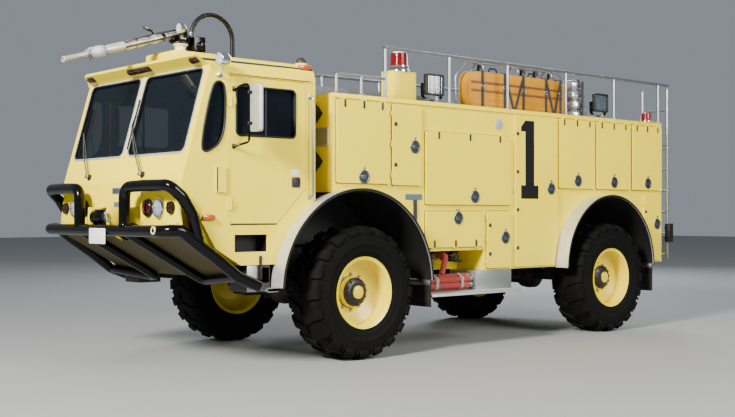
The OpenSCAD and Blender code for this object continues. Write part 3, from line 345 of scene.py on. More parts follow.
# Painted shade: these two are darker copies of the red and amber lenses below, for lamps that sit in shadow
# under the guard's hoop and the visor.
red_lens_painted_shade = finish("red_acrylic_lens_painted_shade", "2A0004", 0.14, Coat_Weight=0.3, Coat_Roughness=0.03)
amber_lens_painted_shade = finish("amber_acrylic_lens_painted_shade", "2E0A01", 0.16, Coat_Weight=0.3, Coat_Roughness=0.03)
red_lens = finish("red_acrylic_lens", "6C0307", 0.12, Coat_Weight=0.3, Coat_Roughness=0.03)
amber_lens = finish("amber_acrylic_lens", "CC4A00", 0.14, Coat_Weight=0.3, Coat_Roughness=0.03)
mirror_glass = finish("silvered_mirror", "D5DCE0", 0.02, Metallic=1.0)


def ribs(material, pitch, depth, axis):
    """Moulded ribs on a lens, that many metres apart along an axis."""
    tree, shader, coordinates = parts_of(material)
    wave = node(tree, "TexWave", {"Vector": coordinates, "Scale": 1 / (pitch * 20) * math.pi * 2},
                bands_direction=axis)
    bump = node(tree, "Bump", {"Height": wave.outputs["Fac"], "Distance": depth})
    tree.links.new(bump.outputs[0], shader.inputs["Normal"])


ribs(red_lens, 0.012, 0.0008, "Z")
ribs(amber_lens, 0.008, 0.0006, "Y")
ribs(clear_lens, 0.012, 0.0008, "Y")
ribs(flood_glass_grey, 0.012, 0.0008, "Y")
print("finishes so far:", len(bpy.data.materials))

# %% [markdown]
# Plastic, cloth and foil
# The stretcher is rotomoulded polyethylene, waxy and scuffed. Straps are nylon webbing, whose
# weave is a fine twill. Fire hose has a woven jacket coloured red. Rescue blankets are foil
# on fleece: bright, and crumpled at every scale. The cabin is vinyl and moulded plastic.

# %% Soft and moulded finishes
WEAVE_PITCH = 0.004

stretcher_plastic = finish("rotomoulded_polyethylene", "BE820E", 0.5, bumps=(0.006, 0.0005),
    tones=("B67A08", "C88C14", 0.12, 0.6), Specular_IOR_Level=0.3)

groove_brown = finish("scuffed_brown_rubbing_strip", "7C4218", 0.6, bumps=(0.005, 0.0004),
    tones=("6B3814", "8A4C20", 0.05))


def woven(name, hex_a, hex_b, pitch, roughness):
    """Cloth whose threads cross at that pitch, drawn a little coarser than life so that it shows."""
    material = finish(name, hex_a, roughness, Sheen_Weight=0.2)
    tree, shader, coordinates = parts_of(material)
    scale = math.pi * 2 / (pitch * 20)
    waves = [node(tree, "TexWave", {"Vector": coordinates, "Scale": scale}, bands_direction=axis)
             for axis in ("X", "Z")]
    height = node(tree, "Math", {0: waves[0].outputs["Fac"], 1: waves[1].outputs["Fac"]},
        operation="MULTIPLY")
    bump = node(tree, "Bump", {"Height": height.outputs[0], "Distance": pitch / 8})
    tree.links.new(bump.outputs[0], shader.inputs["Normal"])
    mottle(material, hex_a, hex_b, 0.03)
    return material


webbing = woven("black_nylon_webbing", "141414", "222223", WEAVE_PITCH, 0.75)
grey_webbing = woven("grey_nylon_webbing", "7F7F7B", "989892", WEAVE_PITCH, 0.8)
hose_jacket = woven("red_woven_hose_jacket", "8E1F16", "A92C20", WEAVE_PITCH * 1.5, 0.7)

blanket_foil = finish("crumpled_rescue_foil", "C9CDD1", 0.24, bumps=(0.05, 0.008, EVEN, 6.0),
    tones=("B4B9BF", "DDE0E3", 0.1), Metallic=0.95)

seat_vinyl = finish("grained_grey_vinyl", "34363A", 0.55, bumps=(0.003, 0.0004),
    tones=("2E3034", "3C3E42", 0.2), Sheen_Weight=0.1)

dash_plastic = finish("moulded_abs_trim", "1F2022", 0.6, bumps=(0.002, 0.0003),
    tones=("1A1B1D", "26272A", 0.3))

plate_white = finish("blank_white_plate", "E8E8E4", 0.4, tones=("DEDED9", "EFEFEC", 0.1))

plate_blue = finish("blank_blue_grey_plate", "52636C", 0.45, tones=("4A5A63", "5C6E77", 0.05))

label_grey = finish("blank_grey_plate", "9AA0A8", 0.4, tones=("8D939B", "A7ACB3", 0.05))

turret_metal = finish("weathered_silver_enamel", "C9C5B6", 0.4, bumps=(0.01, 0.0003),
    tones=("B9B5A6", "D6D2C4", 0.08), Metallic=0.45, Coat_Weight=0.2)

cream_enamel = finish("sprayed_cream_enamel", "E8DFA6", 0.36, bumps=(0.012, 0.00025),
    tones=("E2D99E", "EEE6B2", 0.5), Coat_Weight=0.4)

# %% [markdown]
# Finish the solid pieces
# Most solids keep their own shape and only need the right finish. The glb's own materials
# are swapped for these, piece by piece. Anything not in the list is painted like the body.

# %% Finishes of the solid pieces
FINISH_OF = {
    "chassis_frame": chassis_black, "leaf_springs": dark_steel, "front_axle": chassis_black,
    "rear_axle": chassis_black, "driveline": dark_steel, "knuckle_left": dark_steel,
    "knuckle_right": dark_steel, "tie_rod": dark_steel, "cab_glass": window_glass,
    "cab_door_glass_left": window_glass, "cab_door_glass_right": window_glass,
    "cab_interior": dash_plastic, "front_guard": tube_black, "skid_plate": skid_paint_with_painted_shade,
    "winch": dark_steel, "steps_and_rails": plate_aluminium, "turret_base": cream_enamel,
    "turret_swivel": tube_black, "turret_barrel": turret_metal, "turret_hose": seal_rubber,
    "arch_bands": band_aluminium, "mud_flaps": flap_rubber, "bellows": seal_rubber,
    "hose_bundle": hose_jacket, "deck_rails": rail_aluminium_with_painted_shade, "deck_lamps": red_lens,
    "stretcher": stretcher_plastic, "blanket_stack": blanket_foil, "roof_ladder": rail_aluminium_with_painted_shade,
    "rear_ladder": rail_aluminium_with_painted_shade, "cab_lamps": chrome, "wipers": tube_black,
    "mirror_left": band_aluminium, "mirror_right": band_aluminium,
}


def dress(name, solid):
    """Gives one solid its finish."""
    if name.startswith("tyre"):
        skin = tyre_rubber
    elif name.startswith("rim"):
        skin = rim_enamel
    else:
        skin = FINISH_OF.get(name, body_enamel)
    solid.data.materials.clear()
    solid.data.materials.append(skin)


for name, solid in NODES.items():
    dress(name, solid)
print("dressed", len(NODES), "solids")

# %% [markdown]
# Helpers for shapes
# Every added piece is built from a few plain forms: a slab, a plate cut to an outline, a
# turned form and a pipe along a path. Each gives its corners and faces, in metres from the
# front axle. One function joins the forms of a piece into a closed mesh, turns its faces
# outwards, rounds its edges, and lets it ride on the body that carries it.

# %% Forms
ALONG, ACROSS = (1, 0, 0), (0, 1, 0)
SIDES = {"left": 1, "right": -1}


def slab(low, high):
    """A block between two corners."""
    (x0, y0, z0), (x1, y1, z1) = low, high
    verts = [(x, y, z) for x in (x0, x1) for y in (y0, y1) for z in (z0, z1)]
    faces = [(0, 1, 3, 2), (4, 6, 7, 5), (0, 4, 5, 1), (2, 3, 7, 6), (0, 2, 6, 4), (1, 5, 7, 3)]
    return verts, faces


def plate(outline, low, high, axis="y"):
    """An outline as thick as high - low, drawn in X and Z for axis y, and in Y and Z for axis x."""
    put = {"x": lambda a, b, c: (c, a, b), "y": lambda a, b, c: (a, c, b)}[axis]
    n = len(outline)
    verts = [put(a, b, c) for c in (low, high) for a, b in outline]
    faces = [tuple(range(n)), tuple(range(2 * n - 1, n - 1, -1))]
    faces += [(i, (i + 1) % n, n + (i + 1) % n, n + i) for i in range(n)]
    return verts, faces


def round_outline(a0, b0, a1, b1, radius, steps=6):
    """A rectangle with round corners."""
    points = []
    for a, b, turn in ((a1 - radius, b1 - radius, 0), (a0 + radius, b1 - radius, 90),
            (a0 + radius, b0 + radius, 180), (a1 - radius, b0 + radius, 270)):
        for i in range(steps + 1):
            t = math.radians(turn + 90 * i / steps)
            points.append((a + radius * math.cos(t), b + radius * math.sin(t)))
    return points


def smoothed(outline, steps=3, reach=0.34):
    """An outline with each corner turned into a short curve."""
    points = []
    for i, corner in enumerate(outline):
        corner = Vector(corner)
        before, after = Vector(outline[i - 1]), Vector(outline[(i + 1) % len(outline)])
        start, end = corner.lerp(before, reach), corner.lerp(after, reach)
        for k in range(steps + 1):
            t = k / steps
            points.append(tuple(start.lerp(corner, t).lerp(corner.lerp(end, t), t)))
    return points


def inset(outline, by):
    """An outline drawn in towards its middle by about that much."""
    middle = Vector((sum(a for a, b in outline) / len(outline), sum(b for a, b in outline) / len(outline)))
    span = Vector((max(a for a, b in outline) - min(a for a, b in outline),
        max(b for a, b in outline) - min(b for a, b in outline)))
    return [
        (middle.x + (a - middle.x) * (1 - 2 * by / span.x),
            middle.y + (b - middle.y) * (1 - 2 * by / span.y)) for a, b in outline]


def frame_plate(outer, inner, low, high, axis="y"):
    """A flat ring between two outlines of as many points."""
    n = len(outer)
    verts, _ = plate(outer, low, high, axis)
    inner_verts, _ = plate(inner, low, high, axis)
    verts = verts + inner_verts
    faces = []
    for i in range(n):
        j = (i + 1) % n
        faces += [(i, j, 2 * n + j, 2 * n + i), (n + j, n + i, 3 * n + i, 3 * n + j),
                  (i, n + i, n + j, j), (2 * n + i, 2 * n + j, 3 * n + j, 3 * n + i)]
    return verts, faces


def turned(profile, centre, axis=(0, 0, 1), steps=32):
    """A profile of (radius, distance along) turned about an axis through centre."""
    along = Vector(axis).normalized()
    side = along.orthogonal().normalized()
    third = along.cross(side)
    verts, faces, rings = [], [], []
    for radius, distance in profile:
        middle = Vector(centre) + along * distance
        if radius < 1e-6:
            rings.append([len(verts)])
            verts.append(tuple(middle))
            continue
        rings.append(list(range(len(verts), len(verts) + steps)))
        for i in range(steps):
            t = 2 * math.pi * i / steps
            verts.append(tuple(middle + side * radius * math.cos(t) + third * radius * math.sin(t)))
    for a, b in zip(rings, rings[1:]):
        for i in range(steps):
            j = (i + 1) % steps
            if len(a) == 1 and len(b) == 1:
                break
            if len(a) == 1:
                faces.append((a[0], b[i], b[j]))
            elif len(b) == 1:
                faces.append((a[i], a[j], b[0]))
            else:
                faces.append((a[i], a[j], b[j], b[i]))
    for ring in (rings[0], rings[-1]):
        if len(ring) > 1:
            faces.append(tuple(ring))
    return verts, faces


def bent(points, radius, steps=6):
    """A path whose corners are rounded by arcs of that radius, as a tube bender leaves them."""
    points = [Vector(p) for p in points]
    path = [points[0]]
    for before, corner, after in zip(points, points[1:], points[2:]):
        to_before = (before - corner).normalized()
        to_after = (after - corner).normalized()
        half = to_before.angle(to_after) / 2
        reach = min(radius / math.tan(half), 0.48 * (before - corner).length, 0.48 * (after - corner).length)
        start, end = corner + to_before * reach, corner + to_after * reach
        for i in range(steps + 1):
            t = i / steps
            path.append(start.lerp(corner, t).lerp(corner.lerp(end, t), t))
    path.append(points[-1])
    return path


def pipe(points, radius, sides=12, closed=False):
    """A round tube along a path."""
    points = [Vector(p) for p in points]
    count = len(points)
    verts, faces = [], []
    side = None
    for i, point in enumerate(points):
        before = points[i - 1] if i or closed else point
        after = points[(i + 1) % count] if i < count - 1 or closed else point
        along = (after - before).normalized()
        side = along.orthogonal() if side is None else side - along * side.dot(along)
        side.normalize()
        third = along.cross(side)
        for k in range(sides):
            t = 2 * math.pi * k / sides
            verts.append(tuple(point + side * radius * math.cos(t) + third * radius * math.sin(t)))
    rings = count if closed else count - 1
    for i in range(rings):
        a, b = i * sides, (i + 1) % count * sides
        faces += [(a + k, a + (k + 1) % sides, b + (k + 1) % sides, b + k) for k in range(sides)]
    if not closed:
        faces += [tuple(range(sides)), tuple(range((count - 1) * sides, count * sides))]
    return verts, faces


def strap(points, width, thick, across):
    """A flat band along a path, with its width along the direction across."""
    points = [Vector(p) for p in points]
    across = Vector(across).normalized()
    verts, faces = [], []
    for i, point in enumerate(points):
        along = (points[min(i + 1, len(points) - 1)] - points[max(i - 1, 0)]).normalized()
        out = along.cross(across).normalized()
        for a, b in ((-1, -1), (1, -1), (1, 1), (-1, 1)):
            verts.append(tuple(point + across * a * width / 2 + out * b * thick / 2))
    for i in range(len(points) - 1):
        a, b = 4 * i, 4 * i + 4
        faces += [(a + k, a + (k + 1) % 4, b + (k + 1) % 4, b + k) for k in range(4)]
    end = 4 * (len(points) - 1)
    faces += [(0, 1, 2, 3), (end, end + 1, end + 2, end + 3)]
    return verts, faces


def mirrored(form):
    """The same form on the truck's other side."""
    verts, faces = form
    return [(x, -y, z) for x, y, z in verts], [tuple(reversed(face)) for face in faces]


def on_side(way, forms):
    """Forms drawn for the left side, or their mirror images where the way is to the right."""
    return forms if way > 0 else [mirrored(form) for form in forms]


def both(*forms):
    """Forms and their mirror images."""
    return list(forms) + on_side(-1, forms)


# %% [markdown]
# Make a piece
# Bevels catch the light along edges, so they matter more than any texture. They are made by
# a modifier that is evaluated at once, so that what is left is a plain mesh at the origin. A
# piece's colour follows from its finish.

# %% Pieces
SMOOTH_TO = 40


def plain_mesh(obj):
    """Applies the modifiers by taking the evaluated mesh."""
    evaluated = obj.evaluated_get(bpy.context.evaluated_depsgraph_get())
    mesh = bpy.data.meshes.new_from_object(evaluated)
    obj.modifiers.clear()
    obj.data = mesh
    return obj


def tidy(mesh, smooth_to=SMOOTH_TO):
    """Turns the faces outwards and smooths all but the sharp edges."""
    bm = bmesh.new()
    bm.from_mesh(mesh)
    bmesh.ops.recalc_face_normals(bm, faces=bm.faces)
    for face in bm.faces:
        face.smooth = True
    bm.to_mesh(mesh)
    bm.free()
    mesh.set_sharp_from_angle(angle=math.radians(smooth_to))


def mesh_of(form, smooth_to=SMOOTH_TO):
    """The closed mesh of one form."""
    mesh = bpy.data.meshes.new("form")
    mesh.from_pydata(form[0], [], form[1])
    tidy(mesh, smooth_to)
    return mesh


def joined(forms, shift=0.0):
    """The corners and faces of several forms as one, moved along the truck."""
    verts, faces = [], []
    for form_verts, form_faces in forms:
        start = len(verts)
        verts += [(x + shift, y, z) for x, y, z in form_verts]
        faces += [tuple(start + i for i in face) for face in form_faces]
    return verts, faces


def new_object(name, mesh):
    """A new object in the scene."""
    obj = bpy.data.objects.new(name, mesh)
    bpy.context.collection.objects.link(obj)
    return obj


def carry(obj, skin, body, stands_for):
    """Paints a piece, hangs it on its body and lets it take the place of the solids it stands for."""
    obj.data.materials.clear()
    obj.data.materials.append(skin)
    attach(obj, body)
    if stands_for:
        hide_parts(*stands_for)
    return obj


def loose_piece(name, forms, bevel=0.0, rounds=2, smooth_to=SMOOTH_TO):
    """A mesh object from several forms, with its edges rounded."""
    obj = new_object(name, mesh_of(joined(forms, AXLE_X), smooth_to))
    if bevel:
        edge = obj.modifiers.new("rounded_edges", "BEVEL")
        edge.width = bevel
        edge.segments = rounds
        edge.limit_method = "ANGLE"
        edge.angle_limit = math.radians(smooth_to)
        plain_mesh(obj)
        tidy(obj.data, smooth_to)
    return obj


def make(name, skin, forms, body="truck", slot=None, stands_for=(), **rounding):
    """A finished piece that rides on a body and takes the place of the solids it stands for."""
    obj = loose_piece(name, forms, **rounding)
    return carry(obj, skin, body, stands_for)


print("helpers ready")

# %% [markdown]
# Copies round an axis
# Tread lugs, wheel nuts and hub bolts repeat round the wheel's axis. A small Geometry Nodes
# tree does that for any seed shape: it makes as many points as copies at the middle, puts the
# seed on each point turned a little further, makes the copies real and paints them.

# %% Ring of copies
def new_tree(name, **inputs):
    """A Geometry Nodes tree with named inputs, and the sockets that they come in by."""
    tree = bpy.data.node_groups.new(name, "GeometryNodeTree")
    for label, kind in inputs.items():
        label = label.replace("_", " ").capitalize()
        tree.interface.new_socket(label, in_out="INPUT", socket_type="NodeSocket" + kind)
    tree.interface.new_socket("Shape", in_out="OUTPUT", socket_type="NodeSocketGeometry")
    return tree, add_node(tree, "NodeGroupInput").outputs


def maths(tree, operation, *feeds):
    """What one sum comes to inside a tree."""
    return add_node(tree, "ShaderNodeMath", dict(enumerate(feeds)), operation=operation).outputs[0]


def copies_on(tree, points, seed, skin, **turn):
    """Ends a tree: the seed on every point, made real, painted and handed out."""
    copies = add_node(tree, "GeometryNodeInstanceOnPoints", {"Points": points, "Instance": seed, **turn})
    real = add_node(tree, "GeometryNodeRealizeInstances", {"Geometry": copies.outputs[0]})
    painted = add_node(tree, "GeometryNodeSetMaterial", {"Geometry": real.outputs[0], "Material": skin})
    add_node(tree, "NodeGroupOutput", {0: painted.outputs[0]})
    return tree


def through(tree, mesh, **values):
    """The mesh that a tree makes of another one, with the tree's inputs set by name."""
    obj = new_object("seed", mesh)
    modifier = obj.modifiers.new("nodes", "NODES")
    modifier.node_group = tree
    sockets = {s.name: s.identifier for s in tree.interface.items_tree if s.in_out == "INPUT"}
    for label, value in values.items():
        modifier[sockets[label.replace("_", " ").capitalize()]] = value
    plain_mesh(obj)
    result = obj.data
    bpy.data.objects.remove(obj)
    return result


def ring_tree(skin):
    """Copies of a seed round the Y axis, each turned a little further than the one before."""
    tree, inputs = new_tree("ring_of_copies", seed_shape="Geometry", copies="Int", first_turn="Float")
    points = add_node(tree, "GeometryNodePoints", {"Count": inputs["Copies"]})
    step = maths(tree, "DIVIDE", math.tau, inputs["Copies"])
    index = add_node(tree, "GeometryNodeInputIndex").outputs[0]
    turn = maths(tree, "MULTIPLY_ADD", index, step, inputs["First turn"])
    rotation = add_node(tree, "ShaderNodeCombineXYZ", {"Y": turn})
    return copies_on(tree, points.outputs[0], inputs["Seed shape"], skin, Rotation=rotation.outputs[0])


def ring(seed, copies, first_turn, skin):
    """The mesh of a seed's copies round the Y axis through the origin."""
    return through(ring_tree(skin), mesh_of(seed), copies=copies, first_turn=first_turn)


def gather(name, body, skin, meshes, place, stands_for=()):
    """One piece from several meshes that are moved to their place together."""
    bm = bmesh.new()
    for mesh in meshes:
        bm.from_mesh(mesh)
    mesh = bpy.data.meshes.new(name)
    bm.to_mesh(mesh)
    bm.free()
    mesh.transform(place)
    tidy(mesh)
    return carry(new_object(name, mesh), skin, body, stands_for)


# %% [markdown]
# Tyres
# Off-road crash-tender tyres carry deep blocks that run from the middle of the tread over the
# shoulder and a hand's width down the sidewall. The carcass is a turned profile with moulded
# rings on its sidewall. A block is lofted through stations along that profile, skewed so that
# it points forwards, and the ring puts twenty on each shoulder, the two rows half a step apart.

# %% Tyre
TYRE_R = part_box("tyre_front_left")[1][2] - WHEEL_Z
TYRE_HALF = (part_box("tyre_front_left")[1][1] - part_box("tyre_front_left")[0][1]) / 2
CARCASS_R = TYRE_R - 0.024
BEAD_R = 0.359
BLOCKS = 20

CARCASS = [(BEAD_R, 0.186), (0.383, 0.202), (0.392, 0.206), (0.43, 0.222), (0.437, 0.2265), (0.445, 0.2255),
           (0.5, 0.234), (0.507, 0.2385), (0.515, 0.236), (0.56, 0.236), (0.612, 0.229), (0.655, 0.205),
           (0.672, 0.18), (CARCASS_R, 0.14), (CARCASS_R, 0.05), (CARCASS_R, 0.0)]


def carcass():
    """The tyre without its blocks, as a closed ring of 96 steps."""
    outer = [(r, y) for r, y in CARCASS]
    inner = [(r, -y) for r, y in reversed(CARCASS[:-1])]
    profile = outer + inner
    verts, faces = turned(profile, (0, 0, 0), ACROSS, 96)
    faces = faces[:-2]
    n = len(profile) - 1
    faces += [(n * 96 + i, n * 96 + (i + 1) % 96, (i + 1) % 96, i) for i in range(96)]
    return verts, faces


STATIONS = [
    # across, top radius, foot radius, half width, skew
    (0.012, TYRE_R - 0.001, CARCASS_R - 0.01, 0.04, 0.066),
    (0.09, TYRE_R, CARCASS_R - 0.01, 0.043, 0.028),
    (0.175, TYRE_R - 0.002, 0.66, 0.049, -0.006),
    (0.214, 0.688, 0.63, 0.053, -0.018),
    (TYRE_HALF - 0.001, 0.658, 0.61, 0.055, -0.022),
    (TYRE_HALF, 0.618, 0.592, 0.046, -0.022),
]


def block(way):
    """One tread block on the side of the tyre that way points to."""
    verts = []
    for across, top, foot, half, skew in STATIONS:
        inward = across if foot > 0.62 else across - 0.02
        for radius, y, width in ((foot, inward, half + 0.006), (top, across, half)):
            for side in (-1, 1):
                t = (skew + side * width) / radius
                verts.append((radius * math.sin(t), way * y, radius * math.cos(t)))
    faces = [(0, 1, 3, 2)]
    for i in range(len(STATIONS) - 1):
        a, b = 4 * i, 4 * i + 4
        faces += [(a, b, b + 1, a + 1), (a + 2, a + 3, b + 3, b + 2), (a, a + 2, b + 2, b),
                  (a + 1, b + 1, b + 3, a + 3)]
    end = 4 * (len(STATIONS) - 1)
    faces.append((end, end + 2, end + 3, end + 1))
    return verts, faces


# small cooling bars are moulded between the blocks, low on the shoulder
COOLING_BAR = slab((-0.012, TYRE_HALF - 0.012, 0.6), (0.012, TYRE_HALF - 0.003, 0.65))
tyre_meshes = [mesh_of(carcass())]
for way, first in ((1, 0.0), (-1, 0.5)):
    tyre_meshes.append(ring(block(way), BLOCKS, first * math.tau / BLOCKS, tyre_rubber))
    bar = ([(x, way * y, z) for x, y, z in COOLING_BAR[0]], COOLING_BAR[1])
    tyre_meshes.append(ring(bar, BLOCKS, (first + 0.42) * math.tau / BLOCKS, tyre_rubber))

# %% [markdown]
# Wheel nuts and hubs
# Ten nuts on a flange hold each rim, and a greasy black hub stands out of the dish with a
# ring of small bolts round its cap. The nuts are six-sided prisms with a stud end each.

# %% Hub parts
NUTS = 10
NUT_CIRCLE = 0.192
FLANGE_Y = -0.02


def nut(circle, size, low, high):
    """A six-sided nut at the top of a circle of nuts, with the end of its stud."""
    turns = [i * math.pi / 3 for i in range(6)]
    hexagon = [(size * math.cos(t), circle + size * math.sin(t)) for t in turns]
    stud = turned([(0, low), (size * 0.45, low), (size * 0.45, high + 0.008), (0, high + 0.01)],
        (0, 0, circle), ACROSS, 10)
    return joined([plate(hexagon, low, high), stud])


nut_meshes = [ring(nut(NUT_CIRCLE, 0.018, FLANGE_Y - 0.002, FLANGE_Y + 0.02), NUTS, 0.0, zinc)]
hub_meshes = [
    mesh_of(turned([(0.172, FLANGE_Y - 0.004), (0.17, FLANGE_Y + 0.006), (0.156, 0.02), (0.152, 0.066),
                    (0.118, 0.092), (0.095, 0.094), (0.09, 0.1), (0.0, 0.1)], (0, 0, 0), ACROSS, 48)),
    ring(nut(0.132, 0.011, 0.07, 0.088), 12, 0.1, dark_steel),
]
cap_meshes = [
    mesh_of(turned([(0.07, 0.098), (0.07, 0.112), (0.055, 0.122), (0.0, 0.125)], (0, 0, 0), ACROSS, 32))]
valve_meshes = [
    mesh_of(pipe(bent([(0.27, -0.012, -0.12), (0.29, 0.03, -0.13), (0.32, 0.09, -0.142)], 0.02),
        0.006, sides=8))]

# %% [markdown]
# Put the parts on the four wheels
# A wheel on the right is the left one turned half round, which keeps every face pointing
# outwards, where a mirror image would turn them in.

# %% Four wheels
WHEELS = {"front_left": (0, 1), "front_right": (0, -1), "rear_left": (REAR_AXLE, 1),
    "rear_right": (REAR_AXLE, -1)}


def wheel_place(x, way):
    """Where a wheel drawn about the origin goes."""
    turn = Matrix.Rotation(0 if way > 0 else math.pi, 4, "Z")
    return Matrix.Translation((AXLE_X + x, way * WHEEL_Y, WHEEL_Z)) @ turn


for where, (x, way) in WHEELS.items():
    wheel = "wheel_" + where
    place = wheel_place(x, way)
    gather("lugged_tyre_" + where, wheel, tyre_rubber, tyre_meshes, place, ["tyre_" + where])
    gather("wheel_nuts_" + where, wheel, zinc, nut_meshes, place)
    gather("hub_" + where, wheel, dark_steel, hub_meshes, place)
    gather("hub_cap_" + where, wheel, rim_enamel, cap_meshes, place)
    gather("valve_" + where, wheel, zinc, valve_meshes, place)
print("wheels:", len(WHEELS), "with", 2 * BLOCKS, "blocks each")

# %% [markdown]
# Arch liners
# The inside of each wheel arch is sprayed with black underseal, and only the band's outer
# face stays bright, with a black rubber lip along its edge. The liner is a thin sheet bent to
# the band's inner face.

# %% Arch liners
ARCHES = {"front": (0.05, 0.755, 1.035, 0.8), "rear": (REAR_AXLE, 0.85, 0.92, 0.86)}
ARCH_T = 0.014
LIP_Y = 1.41


def arch_sheet(centre_x, centre_z, radius, low, y_in, y_out, thick, steps=72):
    """A sheet bent round an arch, open below."""
    verts, faces = [], []
    start = math.asin((low - centre_z) / radius)
    for i in range(steps + 1):
        t = start + (math.pi - 2 * start) * i / steps
        for r, y in ((radius, y_in), (radius, y_out), (radius - thick, y_out), (radius - thick, y_in)):
            verts.append((centre_x + r * math.cos(t), y, centre_z + r * math.sin(t)))
    for i in range(steps):
        a, b = 4 * i, 4 * i + 4
        faces += [(a + k, a + (k + 1) % 4, b + (k + 1) % 4, b + k) for k in range(4)]
    end = 4 * steps
    faces += [(0, 1, 2, 3), (end, end + 1, end + 2, end + 3)]
    return verts, faces


liner_forms = [arch_sheet(x, z, r - ARCH_T - 0.001, low + 0.004, 0.66, LIP_Y - 0.012, 0.003)
    for x, z, r, low in ARCHES.values()]
make("arch_liners", flap_rubber, both(*liner_forms))
bead_forms = []
for x, z, r, low in ARCHES.values():
    start = math.asin((low - z) / r)
    turns = [start + (math.pi - 2 * start) * i / 72 for i in range(73)]
    bead_forms.append(
        pipe([(x + (r + 0.004) * math.cos(t), LIP_Y - 0.008, z + (r + 0.004) * math.sin(t))
            for t in turns], 0.0085, sides=10))
make("arch_lip_beads", seal_rubber, both(*bead_forms))

# %% [markdown]
# Windscreen frames and window seals
# Each half of the windscreen sits in a bolted alloy frame with a rubber seal inside it. The
# quarter and door windows have a thick black rubber bead, pressed over the edge of the cut.
# Shapes on the windscreen are drawn in its own plane, across and up the slope, and leaned.

# %% Screen and window seals
RAKE = math.radians(16)
SCREEN_FOOT = Vector((2.134, 0, 1.85))
UP_SLOPE = Vector((-math.sin(RAKE), 0, math.cos(RAKE)))
OUT_OF_SCREEN = Vector((math.cos(RAKE), 0, math.sin(RAKE)))


def screen_point(across, up, out=0.0):
    """A place on the windscreen's plane."""
    return SCREEN_FOOT + Vector((0, across, 0)) + UP_SLOPE * up + OUT_OF_SCREEN * out


def leaned(form):
    """A form drawn as (out, across, up) in the windscreen's plane, set at its slope."""
    verts, faces = form
    return [tuple(screen_point(y, z, x)) for x, y, z in verts], faces


PANE = (0.06, 0.29, 1.12, 1.13)


def pane_ring(outside, inside, low, high):
    """A flat ring round one pane of the windscreen."""
    a0, b0, a1, b1 = PANE
    outer = round_outline(a0 - outside, b0 - outside, a1 + outside, b1 + outside, 0.06 + outside)
    inner = round_outline(a0 + inside, b0 + inside, a1 - inside, b1 - inside, 0.06 - inside)
    return leaned(frame_plate(outer, inner, low, high, axis="x"))


make("screen_frames", band_aluminium, both(pane_ring(0.022, -0.002, -0.001, 0.007)), bevel=0.002)
make("screen_seals", seal_rubber, both(pane_ring(0.003, 0.016, -0.014, 0.009)), bevel=0.003)
make("screen_post_cap", cream_enamel,
     [leaned(plate(round_outline(-0.03, 0.272, 0.03, 1.148, 0.01), -0.001, 0.01, axis="x"))], bevel=0.003)

screen_screws = []
for across in (0.049, 1.131):
    for k in range(7):
        screen_screws.append(
            leaned(turned([(0.0065, 0.006), (0.0055, 0.0095), (0, 0.0105)],
                (0, across, 0.34 + k * 0.123), ALONG, 12)))
make("screen_screws", zinc, both(*screen_screws))

QUARTER = [(1.72, 2.83), (1.635, 2.77), (1.65, 2.25), (1.87, 2.1), (1.945, 2.16), (1.81, 2.76)]


def rounded(outline, radius):
    """A closed outline with its corners rounded."""
    middle = [(Vector(outline[-1] + (0,)) + Vector(outline[0] + (0,))) / 2]
    path = bent(middle + [Vector(p + (0,)) for p in outline] + middle, radius)
    return [(p.x, p.y) for p in path[:-1]]


def side_bead(outline, y, radius):
    """A rubber bead round a side window."""
    return pipe([(a, y, b) for a, b in outline], radius, sides=10, closed=True)


quarter_line = smoothed(inset(QUARTER, 0.01), 8, 0.47)
make("quarter_window_surrounds", body_enamel, both(
    frame_plate(smoothed(QUARTER, 8, 0.03), quarter_line, SIDE_FACE - 0.004, SIDE_FACE + 0.0015)))
make("quarter_window_seals", seal_rubber, both(side_bead(quarter_line, SIDE_FACE + 0.001, 0.012)))

DOOR_PANE = (0.8, 2.3, 1.52, 2.78)
for side, way in SIDES.items():
    bead = side_bead(round_outline(*DOOR_PANE, 0.045), SIDE_FACE + 0.001, 0.011)
    channel = slab((1.142, SIDE_FACE - 0.034, 2.305), (1.164, SIDE_FACE - 0.018, 2.775))
    make("door_window_seal_" + side, seal_rubber, on_side(way, [bead, channel]), body="cab_door_" + side)
rear_bead = pipe([(0.5385, a, b) for a, b in round_outline(-0.7, 2.2, 0.7, 2.76, 0.06)], 0.012,
    sides=10, closed=True)
make("rear_window_seal", seal_rubber, [rear_bead])

# %% [markdown]
# Wipers
# Two pantograph wipers park over the glass. Each arm is a flat alloy bar from a geared spindle
# on the front panel to the middle of a long black blade that lies on the glass.

# %% Wipers
WIPERS = {"right": (-0.64, -1.01, 2.42), "left": (0.47, 0.03, 2.44)}


def screen_x(z):
    """How far forward the windscreen stands at a height."""
    return SCREEN_FOOT.x - (z - SCREEN_FOOT.z) * math.tan(RAKE)


